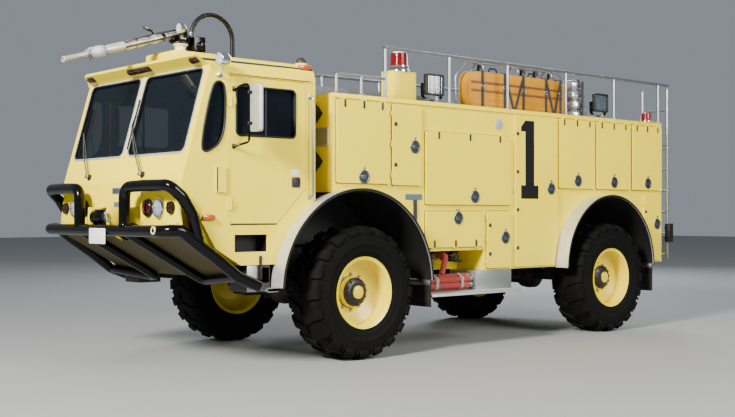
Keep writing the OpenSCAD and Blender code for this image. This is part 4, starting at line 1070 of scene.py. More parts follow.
arms, blades, spindles = [], [], []
for y, blade_y, mid_z in WIPERS.values():
    foot = Vector((screen_x(1.93) + 0.04, y, 1.93))
    head = Vector((screen_x(mid_z) + 0.03, blade_y, mid_z))
    middle = foot.lerp(head, 0.5) + Vector((0.022, 0, 0))
    arms.append(strap([foot, foot.lerp(middle, 0.5), middle, middle.lerp(head, 0.5), head], 0.02, 0.006,
        (0, 1, 0.3)))
    arms.append(pipe([foot + Vector((0.006, 0.03, 0.01)), head + Vector((0.01, 0.028, -0.02))], 0.004,
        sides=8))
    arms.append(turned([(0.02, -0.006), (0.024, 0.0), (0.024, 0.014), (0.012, 0.02), (0, 0.02)],
        tuple(foot), axis=tuple(OUT_OF_SCREEN), steps=20))
    spindles.append(turned([(0.034, -0.043), (0.03, -0.02), (0.013, -0.012), (0.013, 0.002), (0, 0.002)],
        tuple(foot), axis=tuple(OUT_OF_SCREEN), steps=20))
    low = Vector((screen_x(mid_z - 0.25) + 0.004, blade_y, mid_z - 0.25))
    high = Vector((screen_x(mid_z + 0.27) + 0.004, blade_y, mid_z + 0.27))
    blades.append(strap([low, low.lerp(high, 0.5), high], 0.012, 0.026, ACROSS))
    blades.append(
        strap([low.lerp(high, 0.12), low.lerp(high, 0.5) + Vector((0.018, 0, 0.005)),
            low.lerp(high, 0.88)], 0.014, 0.006, ACROSS))
make("wiper_arms", zinc, arms, bevel=0.0015, stands_for=["wipers"])
make("wiper_blades", seal_rubber, blades)
make("wiper_spindles", dark_steel, spindles)
print("cab seals and wipers made")

# %% [markdown]
# Lamps on the front panel
# Each lamp is a turned cup with its own lens: a clear head lamp with a chrome bezel and a
# bright bowl behind it, and two with rubber rims, a red warning lamp inboard and a small
# amber turn lamp outboard. These two lenses are painted far darker than red and amber acrylic,
# which is painted shade for the shadow that the guard's hoop casts on them. They sit in a panel
# inside the tube guard, painted like the body and screwed on at its corners.

# %% Front lamps
PANEL_X = 2.134
LAMPS = {"head": (0.865, 1.59, 0.1), "warning": (0.66, 1.59, 0.087), "turn": (1.085, 1.592, 0.06)}

PANEL = [(0.5, 1.42), (1.24, 1.42), (1.185, 1.66), (1.12, 1.752), (0.5, 1.752)]
panel = plate(rounded(PANEL, 0.02), PANEL_X + 0.0005, PANEL_X + 0.026, axis="x")
make("lamp_panels", body_enamel, both(panel), bevel=0.003, stands_for=["cab_lamps"])


def bezel(r):
    """The section of a lamp's rim."""
    return [(r * 0.8, 0.0), (r, 0.0), (r * 1.0, 0.012), (r * 0.965, 0.026), (r * 0.9, 0.034),
        (r * 0.84, 0.034), (r * 0.8, 0.028)]


def closed_ring(profile, centre, axis, steps=40):
    """A profile that closes on itself, turned about an axis that it doesn't touch."""
    verts, faces = turned(profile, centre, axis, steps)
    faces = faces[:-2]
    last = (len(profile) - 1) * steps
    faces += [(last + i, last + (i + 1) % steps, (i + 1) % steps, i) for i in range(steps)]
    return verts, faces


def lens(r, bulge):
    """The section of a lens that bulges out of its rim."""
    return [(r * 0.82, 0.012), (r * 0.82, 0.024)] + [
        (r * 0.82 * math.cos(t), 0.024 + bulge * math.sin(t))
        for t in (math.radians(a) for a in (15, 30, 45, 60, 75))] + [(0, 0.024 + bulge)]


def bowl(r):
    """The section of the bright bowl behind a clear lens, with its bulb."""
    return [(r * 0.79, 0.02), (r * 0.62, 0.012), (r * 0.35, 0.004), (0.01, 0.002), (0.009, 0.016),
        (0, 0.018)]


bezels, dark_bezels, bowls, clear_lenses, red_lenses, turn_lenses, screws = [], [], [], [], [], [], []
for kind, (y, z, r) in LAMPS.items():
    place = (PANEL_X + 0.026, y, z)
    (bezels if kind == "head" else dark_bezels).append(closed_ring(bezel(r), place, ALONG))
    if kind == "head":
        bowls.append(turned([(r * 0.79, 0.0)] + bowl(r), place, ALONG, 40))
        clear_lenses.append(turned(lens(r, 0.012), place, ALONG, 40))
    elif kind == "warning":
        red_lenses.append(turned(lens(r, 0.02), place, ALONG, 40))
    else:
        turn_lenses.append(turned(lens(r, 0.012), place, ALONG, 32))
    for turn in (0.8, 2.35, 3.9, 5.5):
        screws.append(turned([(0.006, 0.0), (0.0055, 0.003), (0, 0.004)],
            (place[0] + 0.024, y + r * 0.93 * math.cos(turn), z + r * 0.93 * math.sin(turn)), ALONG, 10))
for y, z in ((0.545, 1.445), (0.545, 1.72), (1.19, 1.445), (1.105, 1.722)):
    screws.append(turned([(0.008, 0.0), (0.007, 0.004), (0, 0.005)], (PANEL_X + 0.026, y, z), ALONG, 12))
make("lamp_bezels", chrome, both(*bezels))
make("lamp_bowls", chrome, both(*bowls))
make("lamp_rubber_rims", seal_rubber, both(*dark_bezels))
make("lamp_lenses_clear", head_lens, both(*clear_lenses))
# The red and turn lenses carry painted shade.
make("lamp_lenses_red", red_lens_painted_shade, both(*red_lenses))
make("lamp_lenses_turn", amber_lens_painted_shade, both(*turn_lenses))
make("lamp_screws", zinc, both(*screws))

# %% [markdown]
# Marker lamps, spot lamps and the roof's corner lamps
# Red markers sit on the visor's sloping underside, three close together in the middle and
# one at each corner. Their lenses are painted dark as painted shade for the shadow under the
# visor. Amber side markers stand on the cab's flanks, with a round painted disc at their front
# end. A chrome spot lamp on a bracket stands at each screen pillar.

# %% Marker, spot and corner lamps
VISOR_FOOT = Vector((1.816, 0, 2.96))
VISOR_EDGE = Vector((1.93, 0, 3.048))
ON_VISOR = (VISOR_EDGE - VISOR_FOOT).normalized()
OFF_VISOR = Vector((ON_VISOR.z, 0, -ON_VISOR.x))


def on_visor(y0, y1, half, base, top, share=0.62):
    """A block on the visor's sloping face between two places across."""
    middle = VISOR_FOOT.lerp(VISOR_EDGE, share)
    verts = [tuple(middle + ON_VISOR * a + OFF_VISOR * b + Vector((0, y, 0)))
             for a in (-half, half) for y in (y0, y1) for b in (base, top)]
    return verts, slab((0, 0, 0), (1, 1, 1))[1]


MARKERS = [(-0.215, -0.08), (-0.068, 0.068), (0.08, 0.215), (0.985, 1.105), (-1.105, -0.985)]
make("visor_marker_bases", dash_plastic,
     [on_visor(a - 0.006, b + 0.006, 0.034, -0.002, 0.008) for a, b in MARKERS], bevel=0.002)
# The markers' dark red is painted shade for the shadow under the visor.
make("visor_marker_lenses", red_lens_painted_shade,
     [on_visor(a, b, 0.028, 0.007, 0.026) for a, b in MARKERS], bevel=0.006)

side_lens = slab((1.785, SIDE_FACE + 0.006, 1.476), (1.922, SIDE_FACE + 0.034, 1.516))
roof_lens = slab((0.56, 1.128, 3.014), (0.7, 1.176, 3.062))
make("lamp_lenses_amber", amber_lens, both(side_lens, roof_lens), bevel=0.004)
make("side_marker_bases", dash_plastic, both(
    slab((1.778, SIDE_FACE - 0.001, 1.47), (1.929, SIDE_FACE + 0.008, 1.522)),
    slab((0.552, 1.12, 3.0), (0.708, 1.182, 3.016))), bevel=0.002)
make("side_marker_discs", body_enamel, both(
    turned([(0.044, -0.003), (0.044, 0.01), (0.038, 0.014), (0, 0.014)], (1.902, SIDE_FACE, 1.52),
           ACROSS, 28)))

SPOT = (1.65, 1.3, 3.01)
spot_shell = [(0, 0.0), (0.022, 0.003), (0.044, 0.016), (0.058, 0.04), (0.063, 0.072), (0.064, 0.112),
    (0.0655, 0.116), (0.0655, 0.126), (0.06, 0.129), (0.058, 0.122)]
spot_glass = [(0.0575, 0.116), (0.0575, 0.121), (0.05, 0.1255), (0.03, 0.1285), (0, 0.1295)]
make("spot_lamps", chrome, both(
    turned(spot_shell + [(0.0575, 0.114), (0.035, 0.08), (0, 0.07)], SPOT, ALONG, 36),
    pipe(bent([(1.72, SIDE_FACE + 0.004, 2.866), (1.72, 1.262, 2.88), (1.716, 1.3, 2.955)], 0.03), 0.009),
    slab((1.69, SIDE_FACE + 0.0003, 2.846), (1.75, SIDE_FACE + 0.01, 2.884))), bevel=0.0015)
make("spot_lamp_glasses", clear_lens, both(turned(spot_glass, SPOT, ALONG, 36)))

make("roof_corner_domes", dash_plastic, both(
    turned([(0.055, 0.0), (0.055, 0.012), (0.05, 0.035), (0.034, 0.052), (0.014, 0.06), (0, 0.061)],
           (0.63, 1.1, 3.0845), steps=32)))
print("front and roof lamps made")

# %% [markdown]
# Tube guard
# The guard is 116 mm steel tube, bent cold round wide radii and sprayed gloss black: a lower
# bar across the nose that sweeps down along the skid plate, a raised hoop round each lamp
# group, and two struts under the plate. The bends are rounded, where the solid has corners.

# %% Tube guard
GUARD_Y = 1.268
GUARD_R = 0.058
SLOPE = (1.37 - 0.846) / (2.32 - 1.4)
LOW_OUT = (1.53, GUARD_Y, 0.846 + 0.13 * SLOPE)

nose_bar = bent([(2.32, -0.5, 1.37), (2.32, 0.5, 1.37), (2.32, 1.15, 1.37), (2.262, 1.245, 1.376),
    (2.17, GUARD_Y, 1.376), (2.0, GUARD_Y, 1.25), (1.78, GUARD_Y, 1.105), LOW_OUT,
    (1.29, GUARD_Y, 0.826)], 0.16, steps=8)
half_nose = [p for p in nose_bar if p.y >= 0]
whole_nose = [Vector((p.x, -p.y, p.z)) for p in reversed(half_nose)] + half_nose
hoop = bent([(2.32, 0.47, 1.37), (2.32, 0.47, 1.795), (2.302, 0.8, 1.803), (2.285, 1.245, 1.8),
    (2.16, GUARD_Y, 1.69), (2.05, GUARD_Y, 1.52), (1.975, GUARD_Y, 1.235)], 0.12, steps=8)
strut = bent([(2.32, 0.46, 1.37), (1.4, 0.46, 0.846), LOW_OUT], 0.1, steps=8)
brace = bent([(1.438, 0.38, 1.13), (2.18, 0.38, 1.425), (2.31, 0.38, 1.4)], 0.1)
foot_plate = slab((1.4303, 0.34, 0.99), (1.444, 0.42, 1.17))
make("tube_guard", tube_black,
    [pipe(whole_nose, GUARD_R, sides=32)] + both(pipe(hoop, GUARD_R - 0.001, sides=32),
        pipe(strut, GUARD_R - 0.01, sides=28), pipe(brace, 0.025, sides=20), foot_plate),
    stands_for=["front_guard"])


def weld(centre, axis, radius):
    """A rippled weld bead round a tube's foot."""
    along = Vector(axis).normalized()
    side = along.orthogonal().normalized()
    third = along.cross(side)
    path = []
    for i in range(48):
        t = math.tau * i / 48
        r = radius + 0.001 * math.sin(12 * t)
        path.append(Vector(centre) + side * r * math.cos(t) + third * r * math.sin(t))
    return pipe(path, 0.006, sides=8, closed=True)


make("guard_welds", tube_black, both(
    weld((2.32, 0.47, 1.4275), (0, 0, 1), 0.057), weld((1.99, GUARD_Y, 1.298), (0.25, 0, 1), 0.057)))
make("guard_bolts", zinc, both(*[
    turned([(0.012, 0.0), (0.012, 0.008), (0, 0.009)], (1.444, y, z), ALONG, 6)
    for y in (0.358, 0.402) for z in (1.02, 1.15)]))

# %% [markdown]
# Winch, hook and plates
# A small electric winch sits behind the nose bar between two painted brackets: a black motor
# cover, a drum wound with cable and a bright hook clipped back on the bar. A white plate hangs
# under the bar and two blue-grey ones are on the panel above: all are left blank. A pale ring
# stands on the bar below the left lamps.

# %% Winch and plates
WINCH_X, WINCH_Z = 2.2, 1.5
CABLE_TURNS, TURN_STEPS = 12, 16
cable = []
for i in range(CABLE_TURNS * TURN_STEPS + 1):
    t = math.tau * i / TURN_STEPS
    along = -0.3 + 0.18 * i / (CABLE_TURNS * TURN_STEPS)
    cable.append((WINCH_X + 0.057 * math.cos(t), along, WINCH_Z + 0.057 * math.sin(t)))
make("winch_cable", dark_steel, [pipe(cable, 0.0075, sides=6)], slot="polished_aluminium")
make("winch_drum", dark_steel,
    [turned([(0.052, -0.322), (0.052, -0.104)], (WINCH_X, 0, WINCH_Z), ACROSS, 32),
        turned([(0.066, -0.322), (0.068, -0.318), (0.068, -0.308), (0.064, -0.304)],
            (WINCH_X, 0, WINCH_Z), ACROSS, 32),
        turned([(0.06, -0.108), (0.07, -0.1), (0.07, -0.01), (0.066, 0.02), (0.06, 0.0505)],
            (WINCH_X, 0, WINCH_Z), ACROSS, 32)], bevel=0.004, stands_for=["winch"])
make("winch_brackets", body_enamel, [
    slab((PANEL_X + 0.0003, y, 1.4153), (2.29, y + 0.024, 1.6)) for y in (-0.345, 0.05)], bevel=0.004)
make("winch_motor_cover", tube_black, [
    turned([(0.0, -0.318), (0.07, -0.316), (0.084, -0.304), (0.088, -0.285), (0.088, -0.15), (0.082, -0.12),
            (0.0705, -0.104), (0, -0.103)], (WINCH_X + 0.012, 0, WINCH_Z), ACROSS, 32)])
hook = bent([(2.262, 0.02, 1.56), (2.3, 0.07, 1.545), (2.33, 0.1, 1.5), (2.335, 0.14, 1.462),
    (2.325, 0.185, 1.47), (2.32, 0.19, 1.505)], 0.02)
make("winch_hook", chrome,
    [pipe(hook, 0.011, sides=12),
        turned([(0.017, -0.012), (0.021, 0.0), (0.017, 0.012)], (2.306, 0.076, 1.54), axis=(1, 1, -0.4),
            steps=16),
        turned([(0.014, 0.0), (0.014, 0.05)], (2.262, 0.02, 1.562), axis=(-1, -1, 0.3), steps=16)])
make("nose_plate", plate_white, [
    plate(round_outline(-0.13, 1.235, 0.205, 1.39, 0.012), 2.384, 2.387, axis="x")], bevel=0.001)
make("nose_plate_bracket", tube_black, [
    slab((2.366, -0.12, 1.242), (2.384, 0.195, 1.395))], bevel=0.002)
make("nose_plate_bolts", zinc, [
    turned([(0.008, 0.0), (0.007, 0.004), (0, 0.005)], (2.387, y, 1.37), ALONG, 12)
    for y in (-0.075, 0.15)])
make("panel_blank_plate", plate_blue, [
    plate(round_outline(-0.08, 1.56, 0.05, 1.655, 0.01), PANEL_X, PANEL_X + 0.003, axis="x"),
    plate(round_outline(-0.115, 1.735, 0.1, 1.8, 0.008), PANEL_X, PANEL_X + 0.003, axis="x")], bevel=0.001)
make("panel_grille_slots", dash_plastic, [
    slab((PANEL_X + 0.002, -0.105, 1.745 + k * 0.012), (PANEL_X + 0.0045, 0.09, 1.751 + k * 0.012))
    for k in range(4)])
make("bar_ring", cream_enamel,
    [closed_ring([(0.025, -0.004), (0.037, -0.006), (0.038, 0.006), (0.032, 0.01), (0.025, 0.006)],
        (2.374, 1.11, 1.378), ALONG, steps=28)])

# %% [markdown]
# Skid plate
# Under the nose hangs an 8 mm plate between the guard's tubes. Its lime enamel is painted dark
# olive as painted shade for the shadow it lies in. Two stiffening channels are pressed along
# it, flat-headed bolts follow its edges, and the slot near its top is open to the winch.

# %% Skid plate
PLATE_TOP = Vector((2.32, 0, 1.37))
DOWN_SKID = Vector((-1, 0, -SLOPE)).normalized()
UNDER_SKID = Vector((DOWN_SKID.z, 0, -DOWN_SKID.x)).normalized()
SKID_FACE = 0.039 + 0.0003 + 0.008


def on_skid(form):
    """A form drawn as (below the plate, across, down the slope), set under the skid plate."""
    verts, faces = form
    placed = [PLATE_TOP + UNDER_SKID * (SKID_FACE + x) + Vector((0, y, 0)) + DOWN_SKID * z
        for x, y, z in verts]
    return [tuple(p) for p in placed], faces


skid_bolts = []
for k in range(8):
    for across in (0.53, 1.14):
        skid_bolts.append(
            on_skid(turned([(0.014, 0.0), (0.013, 0.004), (0, 0.006)], (0, across, 0.15 + k * 0.122),
                ALONG, 14)))
make("skid_plate_bolts", zinc, both(*skid_bolts))
# The ribs share the skid plate's dark olive, which is painted shade.
skid_ribs = [on_skid(plate(round_outline(a, 0.17, a + 0.05, 0.98, 0.024), -0.002, 0.009, axis="x"))
    for a in (0.7, 0.92)]
make("skid_plate_ribs", skid_paint_with_painted_shade, both(*skid_ribs), bevel=0.004)
print("guard, winch and skid plate made")

# %% [markdown]
# Roof turret
# The turret stands on a boxed plinth. A cast column carries a black yoke that swings round,
# and the barrel pitches in it on a pin. Shapes on the barrel are drawn along it and across
# it from its pin, and then tipped by the barrel's stowed slope.

# %% Turret base and yoke
PIN_X, PIN_Z = 1.4, 3.45
PLINTH_Z = ROOF + 0.105
YAW_Z = PIN_Z - 0.114

plinth = slab((1.05, -0.3, ROOF - 0.002), (1.65, 0.3, PLINTH_Z))
column = turned([(0.098, PLINTH_Z - 0.005), (0.098, PLINTH_Z + 0.012), (0.07, PLINTH_Z + 0.026),
    (0.058, PLINTH_Z + 0.06), (0.062, PLINTH_Z + 0.082), (0.084, PLINTH_Z + 0.096),
    (0.085, YAW_Z - 0.0005)], (PIN_X, 0, 0), steps=40)
make("turret_plinth", body_enamel, [plinth], bevel=0.028, rounds=4, stands_for=["turret_base"])
make("turret_column", cream_enamel, [column])
make("turret_valve_box", tube_black, [
    slab((1.15, -0.11, PLINTH_Z - 0.003), (1.295, 0.11, PLINTH_Z + 0.195)),
    slab((1.12, -0.06, PLINTH_Z + 0.025), (1.18, 0.06, PLINTH_Z + 0.165)),
    turned([(0.042, 0.0), (0.042, 0.018), (0.03, 0.022), (0.03, 0.06), (0, 0.06)],
           (1.222, 0.108, PLINTH_Z + 0.1), ACROSS, 24)], bevel=0.012, rounds=3)
make("turret_base_bolts", zinc, [
    turned([(0.012, PLINTH_Z - 0.002), (0.012, PLINTH_Z + 0.014), (0.006, PLINTH_Z + 0.015),
            (0.006, PLINTH_Z + 0.024), (0, PLINTH_Z + 0.025)],
           (PIN_X + 0.12 * math.cos(a), 0.12 * math.sin(a), 0), steps=6)
    for a in (math.tau * k / 6 for k in range(6))])

yoke_arm = [(-0.05, YAW_Z + 0.016), (0.05, YAW_Z + 0.016), (0.046, PIN_Z + 0.01), (0.03, PIN_Z + 0.042),
            (0.0, PIN_Z + 0.05), (-0.03, PIN_Z + 0.042), (-0.046, PIN_Z + 0.01)]
yoke_arm = [(PIN_X + a, b) for a, b in yoke_arm]
make("turret_yoke", tube_black,
    [turned([(0.095, YAW_Z), (0.095, YAW_Z + 0.018), (0.088, YAW_Z + 0.024)], (PIN_X, 0, 0), steps=48),
        plate(yoke_arm, 0.054, 0.074), plate(yoke_arm, -0.074, -0.054)], body="turret_head", bevel=0.004,
    stands_for=["turret_swivel"])
make("turret_gear_housings", tube_black,
    both(slab((PIN_X - 0.012, 0.0735, YAW_Z + 0.02), (PIN_X + 0.078, 0.112, PIN_Z - 0.021))),
    body="turret_head", bevel=0.012, rounds=4)
YOKE_TOOTH = slab((0.093, -0.0035, YAW_Z + 0.003), (0.0995, 0.0035, YAW_Z + 0.015))


def turned_copies(form, count, centre):
    """Copies of a form round an upright axis."""
    copies = []
    for k in range(count):
        t = math.tau * k / count
        verts = [
            (centre[0] + x * math.cos(t) - y * math.sin(t), centre[1] + x * math.sin(t) + y * math.cos(t),
                z) for x, y, z in form[0]]
        copies.append((verts, form[1]))
    return copies


make("turret_ring_gear", dark_steel, turned_copies(YOKE_TOOTH, 60, (PIN_X, 0)), body="turret_head")
make("turret_yoke_bolts", zinc, both(*[
    turned([(0.009, 0.0), (0.009, 0.008), (0, 0.009)], (PIN_X + dx, 0.111, YAW_Z + 0.045), ACROSS, 6)
    for dx in (0.01, 0.033, 0.056)]), body="turret_head")

# %% [markdown]
# Turret barrel
# The barrel is spun aluminium: a straight breech, a swelling foam chamber, a taper and a
# straight nozzle with a rolled muzzle. Control rods run along it to a grey vane clamp, and a
# hand lever stands over the breech. The chrome aiming lamp is beside it, on the gear housing
# of the yoke's left arm.

# %% Turret barrel
DIP = math.radians(16.6)
ALONG_BARREL = Vector((math.cos(DIP), 0, -math.sin(DIP)))
OFF_BARREL = Vector((math.sin(DIP), 0, math.cos(DIP)))
PIN = Vector((PIN_X, 0, PIN_Z))


def on_barrel(form):
    """A form drawn along the barrel from its pin, set at the barrel's stowed slope."""
    verts, faces = form
    return [tuple(PIN + ALONG_BARREL * x + Vector((0, y, 0)) + OFF_BARREL * z) for x, y, z in verts], faces


barrel_profile = [(0, -0.06), (0.03, -0.06), (0.033, -0.055), (0.033, 0.292), (0.044, 0.296),
    (0.046, 0.302), (0.046, 0.34), (0.043, 0.346), (0.034, 0.35), (0.034, 0.415), (0.0385, 0.45),
    (0.0445, 0.5), (0.0475, 0.535), (0.048, 0.56), (0.048, 0.69), (0.0495, 0.693), (0.0495, 0.705),
    (0.048, 0.708), (0.048, 0.86), (0.046, 0.885), (0.038, 0.935), (0.03, 0.985), (0.027, 1.01),
    (0.027, 1.368), (0.031, 1.374), (0.032, 1.384), (0.031, 1.396), (0.027, 1.399), (0.0235, 1.396),
    (0.0225, 1.36), (0.0225, 1.3), (0, 1.298)]
make("turret_barrel_tube", turret_metal,
     [on_barrel(turned(barrel_profile, (0, 0, 0), ALONG, 48))], body="barrel", stands_for=["turret_barrel"])

breech = [
    on_barrel(turned([(0.015, -0.088), (0.015, 0.088)], (0, 0, 0), ACROSS, 24)),
    on_barrel(turned([(0.02, 0.0745), (0.02, 0.084), (0.015, 0.088), (0, 0.088)], (0, 0, 0), ACROSS, 6)),
    on_barrel(turned([(0.02, -0.0745), (0.02, -0.084), (0.015, -0.088), (0, -0.088)], (0, 0, 0), ACROSS,
        6)),
    on_barrel(turned([(0.038, -0.048), (0.042, -0.044), (0.042, 0.044), (0.038, 0.048)], (0, 0, 0),
        ACROSS, 32)),
    on_barrel(slab((0.06, -0.04, -0.052), (0.13, 0.04, -0.03))),
    on_barrel(turned([(0.037, 0.2), (0.04, 0.203), (0.04, 0.236), (0.037, 0.239)], (0, 0, 0), ALONG, 32)),
]
make("turret_breech", tube_black, breech, body="barrel", bevel=0.003)

rods = []
for y in (-0.036, 0.036):
    rods.append(
        on_barrel(
            pipe(bent([(-0.04, y, 0.03), (0.06, y, 0.046), (0.3, y * 1.3, 0.052), (0.7, y * 1.4, 0.036)],
                0.08), 0.0065, sides=10)))
    rods.append(on_barrel(pipe([(-0.04, y, -0.012), (0.7, y * 1.42, -0.018)], 0.0095, sides=12)))
    rods.append(on_barrel(pipe([(0.06, y, -0.0125), (0.28, y * 1.2, -0.0145)], 0.0125, sides=14)))
make("turret_rods", dark_steel, rods, body="barrel")
make("turret_rod_clips", zinc,
    [
        on_barrel(closed_ring([(0.0505, -0.008), (0.0555, -0.008), (0.0555, 0.008), (0.0505, 0.008)],
            (x, 0, 0), ALONG, 40)) for x in (0.56, 0.697)]
    + [
        on_barrel(closed_ring([(0.0345, -0.009), (0.0395, -0.009), (0.0395, 0.009), (0.0345, 0.009)],
            (x, 0, 0), ALONG, 40)) for x in (0.16, 0.4)], body="barrel")

vane_outline = [(0.94, -0.03), (0.965, -0.056), (1.06, -0.06), (1.105, -0.046), (1.12, 0.0), (1.1, 0.044),
    (1.05, 0.06), (0.965, 0.056), (0.935, 0.026)]
vanes = [on_barrel(plate(vane_outline, y, y + 0.006)) for y in (-0.062, 0.056)]
vanes.append(on_barrel(slab((0.96, -0.058, -0.005), (1.085, 0.058, 0.005))))
vanes.append(on_barrel(slab((0.99, -0.06, 0.04), (1.04, 0.06, 0.048))))
vanes.append(on_barrel(slab((0.99, -0.06, -0.048), (1.04, 0.06, -0.04))))
vanes.append(
    on_barrel(closed_ring([(0.0275, -0.02), (0.036, -0.02), (0.036, 0.02), (0.0275, 0.02)],
        (1.03, 0, 0), ALONG, 32)))
make("turret_vane_clamp", zinc, vanes, body="barrel", bevel=0.002)

LAMP = (PIN_X + 0.055, 0.124, PIN_Z + 0.03)
lamp_profile = [(0, -0.044), (0.022, -0.041), (0.041, -0.029), (0.053, -0.007), (0.057, 0.018),
    (0.058, 0.03), (0.058, 0.04), (0.052, 0.042), (0.05, 0.034), (0.031, 0.014), (0, 0.006)]
make("turret_lamp", chrome, [turned(lamp_profile, LAMP, ALONG, 36)], body="turret_head")
make("turret_lamp_bracket", dark_steel,
    [slab((PIN_X + 0.04, 0.076, PIN_Z - 0.034), (PIN_X + 0.072, 0.134, PIN_Z - 0.02))],
    body="turret_head", bevel=0.002)
make("turret_lamp_glass", clear_lens,
    [turned([(0.0505, 0.034), (0.0505, 0.038), (0.034, 0.0425), (0, 0.044)], LAMP, ALONG, 36)],
    body="turret_head")
lever = bent([(0.322, 0.0, 0.044), (0.33, 0.0, 0.085), (0.385, 0.0, 0.118)], 0.02)
make("turret_lever", tube_black,
    [on_barrel(pipe(lever, 0.012, sides=12)),
        on_barrel(pipe([(0.332, -0.044, 0.1), (0.388, 0.0, 0.12), (0.438, 0.044, 0.138)], 0.016,
            sides=16))], body="barrel")

# %% [markdown]
# Turret hose
# A stiff rubber hose leaves the valve box, arches over the roof and goes down through it
# beside a gland. A thin control line is clipped along it. Both are held at each end.

# %% Turret hose
HOSE_X, HOSE_Z, HOSE_BEND = 1.0, ROOF + 0.31, 0.264
arc = [(HOSE_X + HOSE_BEND * math.cos(math.pi * i / 28), HOSE_Z + HOSE_BEND * math.sin(math.pi * i / 28))
       for i in range(29)]
main_route = [(HOSE_X + HOSE_BEND, 0, PLINTH_Z + 0.19)] + [(a, 0, b) for a, b in arc] + [
    (HOSE_X - HOSE_BEND, 0, ROOF + 0.004)]
line_route = [(HOSE_X + HOSE_BEND, 0.048, PLINTH_Z + 0.19)] + [(a, 0.034, b) for a, b in arc] + [
    (HOSE_X - HOSE_BEND, 0.04, ROOF + 0.004)]
make("turret_feed_hose", seal_rubber,
     [pipe(main_route, 0.023, sides=20), pipe(line_route, 0.009, sides=12)], stands_for=["turret_hose"])
glands = [
    turned([(0.036, 0.0), (0.036, 0.014), (0.029, 0.018), (0.029, 0.04), (0.0235, 0.044)],
           (HOSE_X - HOSE_BEND, 0, ROOF - 0.001), steps=6),
    turned([(0.034, 0.0), (0.034, 0.03), (0.027, 0.034), (0.027, 0.06), (0.0235, 0.062)],
           (HOSE_X + HOSE_BEND, 0, PLINTH_Z + 0.192), steps=24),
    turned([(0.018, 0.0), (0.018, 0.012), (0.01, 0.016)], (HOSE_X - HOSE_BEND, 0.04, ROOF - 0.001), steps=6)]
make("turret_hose_glands", zinc, glands)
clips = []
for i in (5, 10, 18, 23):
    a, b = arc[i]
    t = math.pi * i / 28
    along = Vector((-math.sin(t), 0, math.cos(t)))
    clips.append(closed_ring([(0.0232, -0.006), (0.0262, -0.006), (0.0262, 0.006), (0.0232, 0.006)],
        (a, 0, b), tuple(along), 28))
    clips.append(closed_ring([(0.0092, -0.006), (0.0115, -0.006), (0.0115, 0.006), (0.0092, 0.006)],
        (a, 0.034, b), tuple(along), 20))
make("turret_hose_clips", dark_steel, clips)
print("turret made")

# %% [markdown]
# Latches, hinges and seams
# Each locker shuts with a round flush latch: a satin zinc cup with a turned rim, a paddle
# across it and a small lock above. Doors hinged along their top or foot show three black hinge
# tabs on that edge, front-hinged ones a few dark bolts. A black rubber strip fills the gap
# round each door.

# %% Locker doors
DOOR_T = 0.022
BOLT_PITCH = 0.45
LEFT_DOORS = {
    # outline: rear x, bottom, front x, top; hinged edge; latch x, z
    1: (-0.5, 1.86, 0.24, 2.745, "top", -0.13, 1.93),
    2: (-0.99, 1.85, -0.55, 2.745, "front", -0.885, 2.28),
    3: (-2.5, 1.64, -1.06, 2.47, "top", -1.86, 1.735),
    4: (-2.01, 1.15, -1.06, 1.565, "bottom", -1.58, 1.485),
    5: (-2.5, 0.89, -2.08, 1.57, "front", -2.395, 1.25),
    6: (-3.385, 0.89, -2.58, 2.745, "front", -3.255, 1.85),
    7: (-4.14, 1.86, -3.42, 2.745, "top", -3.795, 1.96),
    8: (-4.93, 1.86, -4.2, 2.745, "top", -4.57, 1.955),
    9: (-5.67, 1.86, -4.99, 2.745, "top", -5.34, 1.955),
    10: (-5.66, 0.89, -5.25, 1.79, "front", -5.56, 1.395),
}
RIGHT_DOORS = {
    1: (-2.5, 1.64, -1.06, 2.47, "top", -1.86, 1.735),
    2: (-3.385, 0.89, -2.58, 2.745, "front", -3.255, 1.85),
    3: (-4.93, 1.86, -3.42, 2.745, "top", -4.18, 1.96),
    4: (-5.67, 1.86, -4.99, 2.745, "top", -5.34, 1.955),
}


def latch(x, z):
    """The zinc cup, its dark well, the paddle and the lock above, on the door's face."""
    cup = closed_ring([(0.056, -0.001), (0.076, -0.001), (0.076, 0.004), (0.071, 0.008), (0.061, 0.008),
        (0.056, 0.002)], (x, SIDE_FACE, z), ACROSS, steps=40)
    paddle = plate(round_outline(x - 0.046, z - 0.024, x + 0.046, z + 0.018, 0.008), SIDE_FACE + 0.0005,
        SIDE_FACE + 0.0085)
    ring_lock = turned([(0.017, -0.001), (0.017, 0.004), (0.013, 0.006), (0, 0.006)],
        (x, SIDE_FACE, z + 0.098), ACROSS, 20)
    well = turned([(0.0565, -0.001), (0.0565, 0.001), (0, 0.001)], (x, SIDE_FACE, z), ACROSS, 40)
    key = slab((x - 0.0015, SIDE_FACE + 0.005, z + 0.091), (x + 0.0015, SIDE_FACE + 0.0067, z + 0.105))
    return [cup, paddle], [ring_lock], [well, key]


def hinge_tabs(door):
    """What shows of a door's hinges: straps on its upper or lower edge, or bolts on its front edge."""
    x0, z0, x1, z1, edge = door[:5]
    forms = []
    if edge == "front":
        bolts = max(2, round((z1 - z0) / BOLT_PITCH))
        for k in range(bolts):
            z = z0 + (z1 - z0) * (k + 0.5) / bolts
            forms.append(turned([(0.024, -0.001), (0.024, 0.004), (0.018, 0.008), (0, 0.009)],
                (x1 - 0.04, SIDE_FACE, z), ACROSS, 20))
            forms.append(turned([(0.01, 0.008), (0.01, 0.013), (0, 0.014)], (x1 - 0.04, SIDE_FACE, z),
                ACROSS, 6))
        return forms
    for share in (0.14, 0.5, 0.86):
        x = x0 + (x1 - x0) * share
        z = z1 if edge == "top" else z0
        way = -1 if edge == "top" else 1
        low, high = sorted((z, z + way * 0.085))
        forms.append(plate(round_outline(x - 0.013, low, x + 0.013, high, 0.012), SIDE_FACE - 0.001,
            SIDE_FACE + 0.005))
    return forms


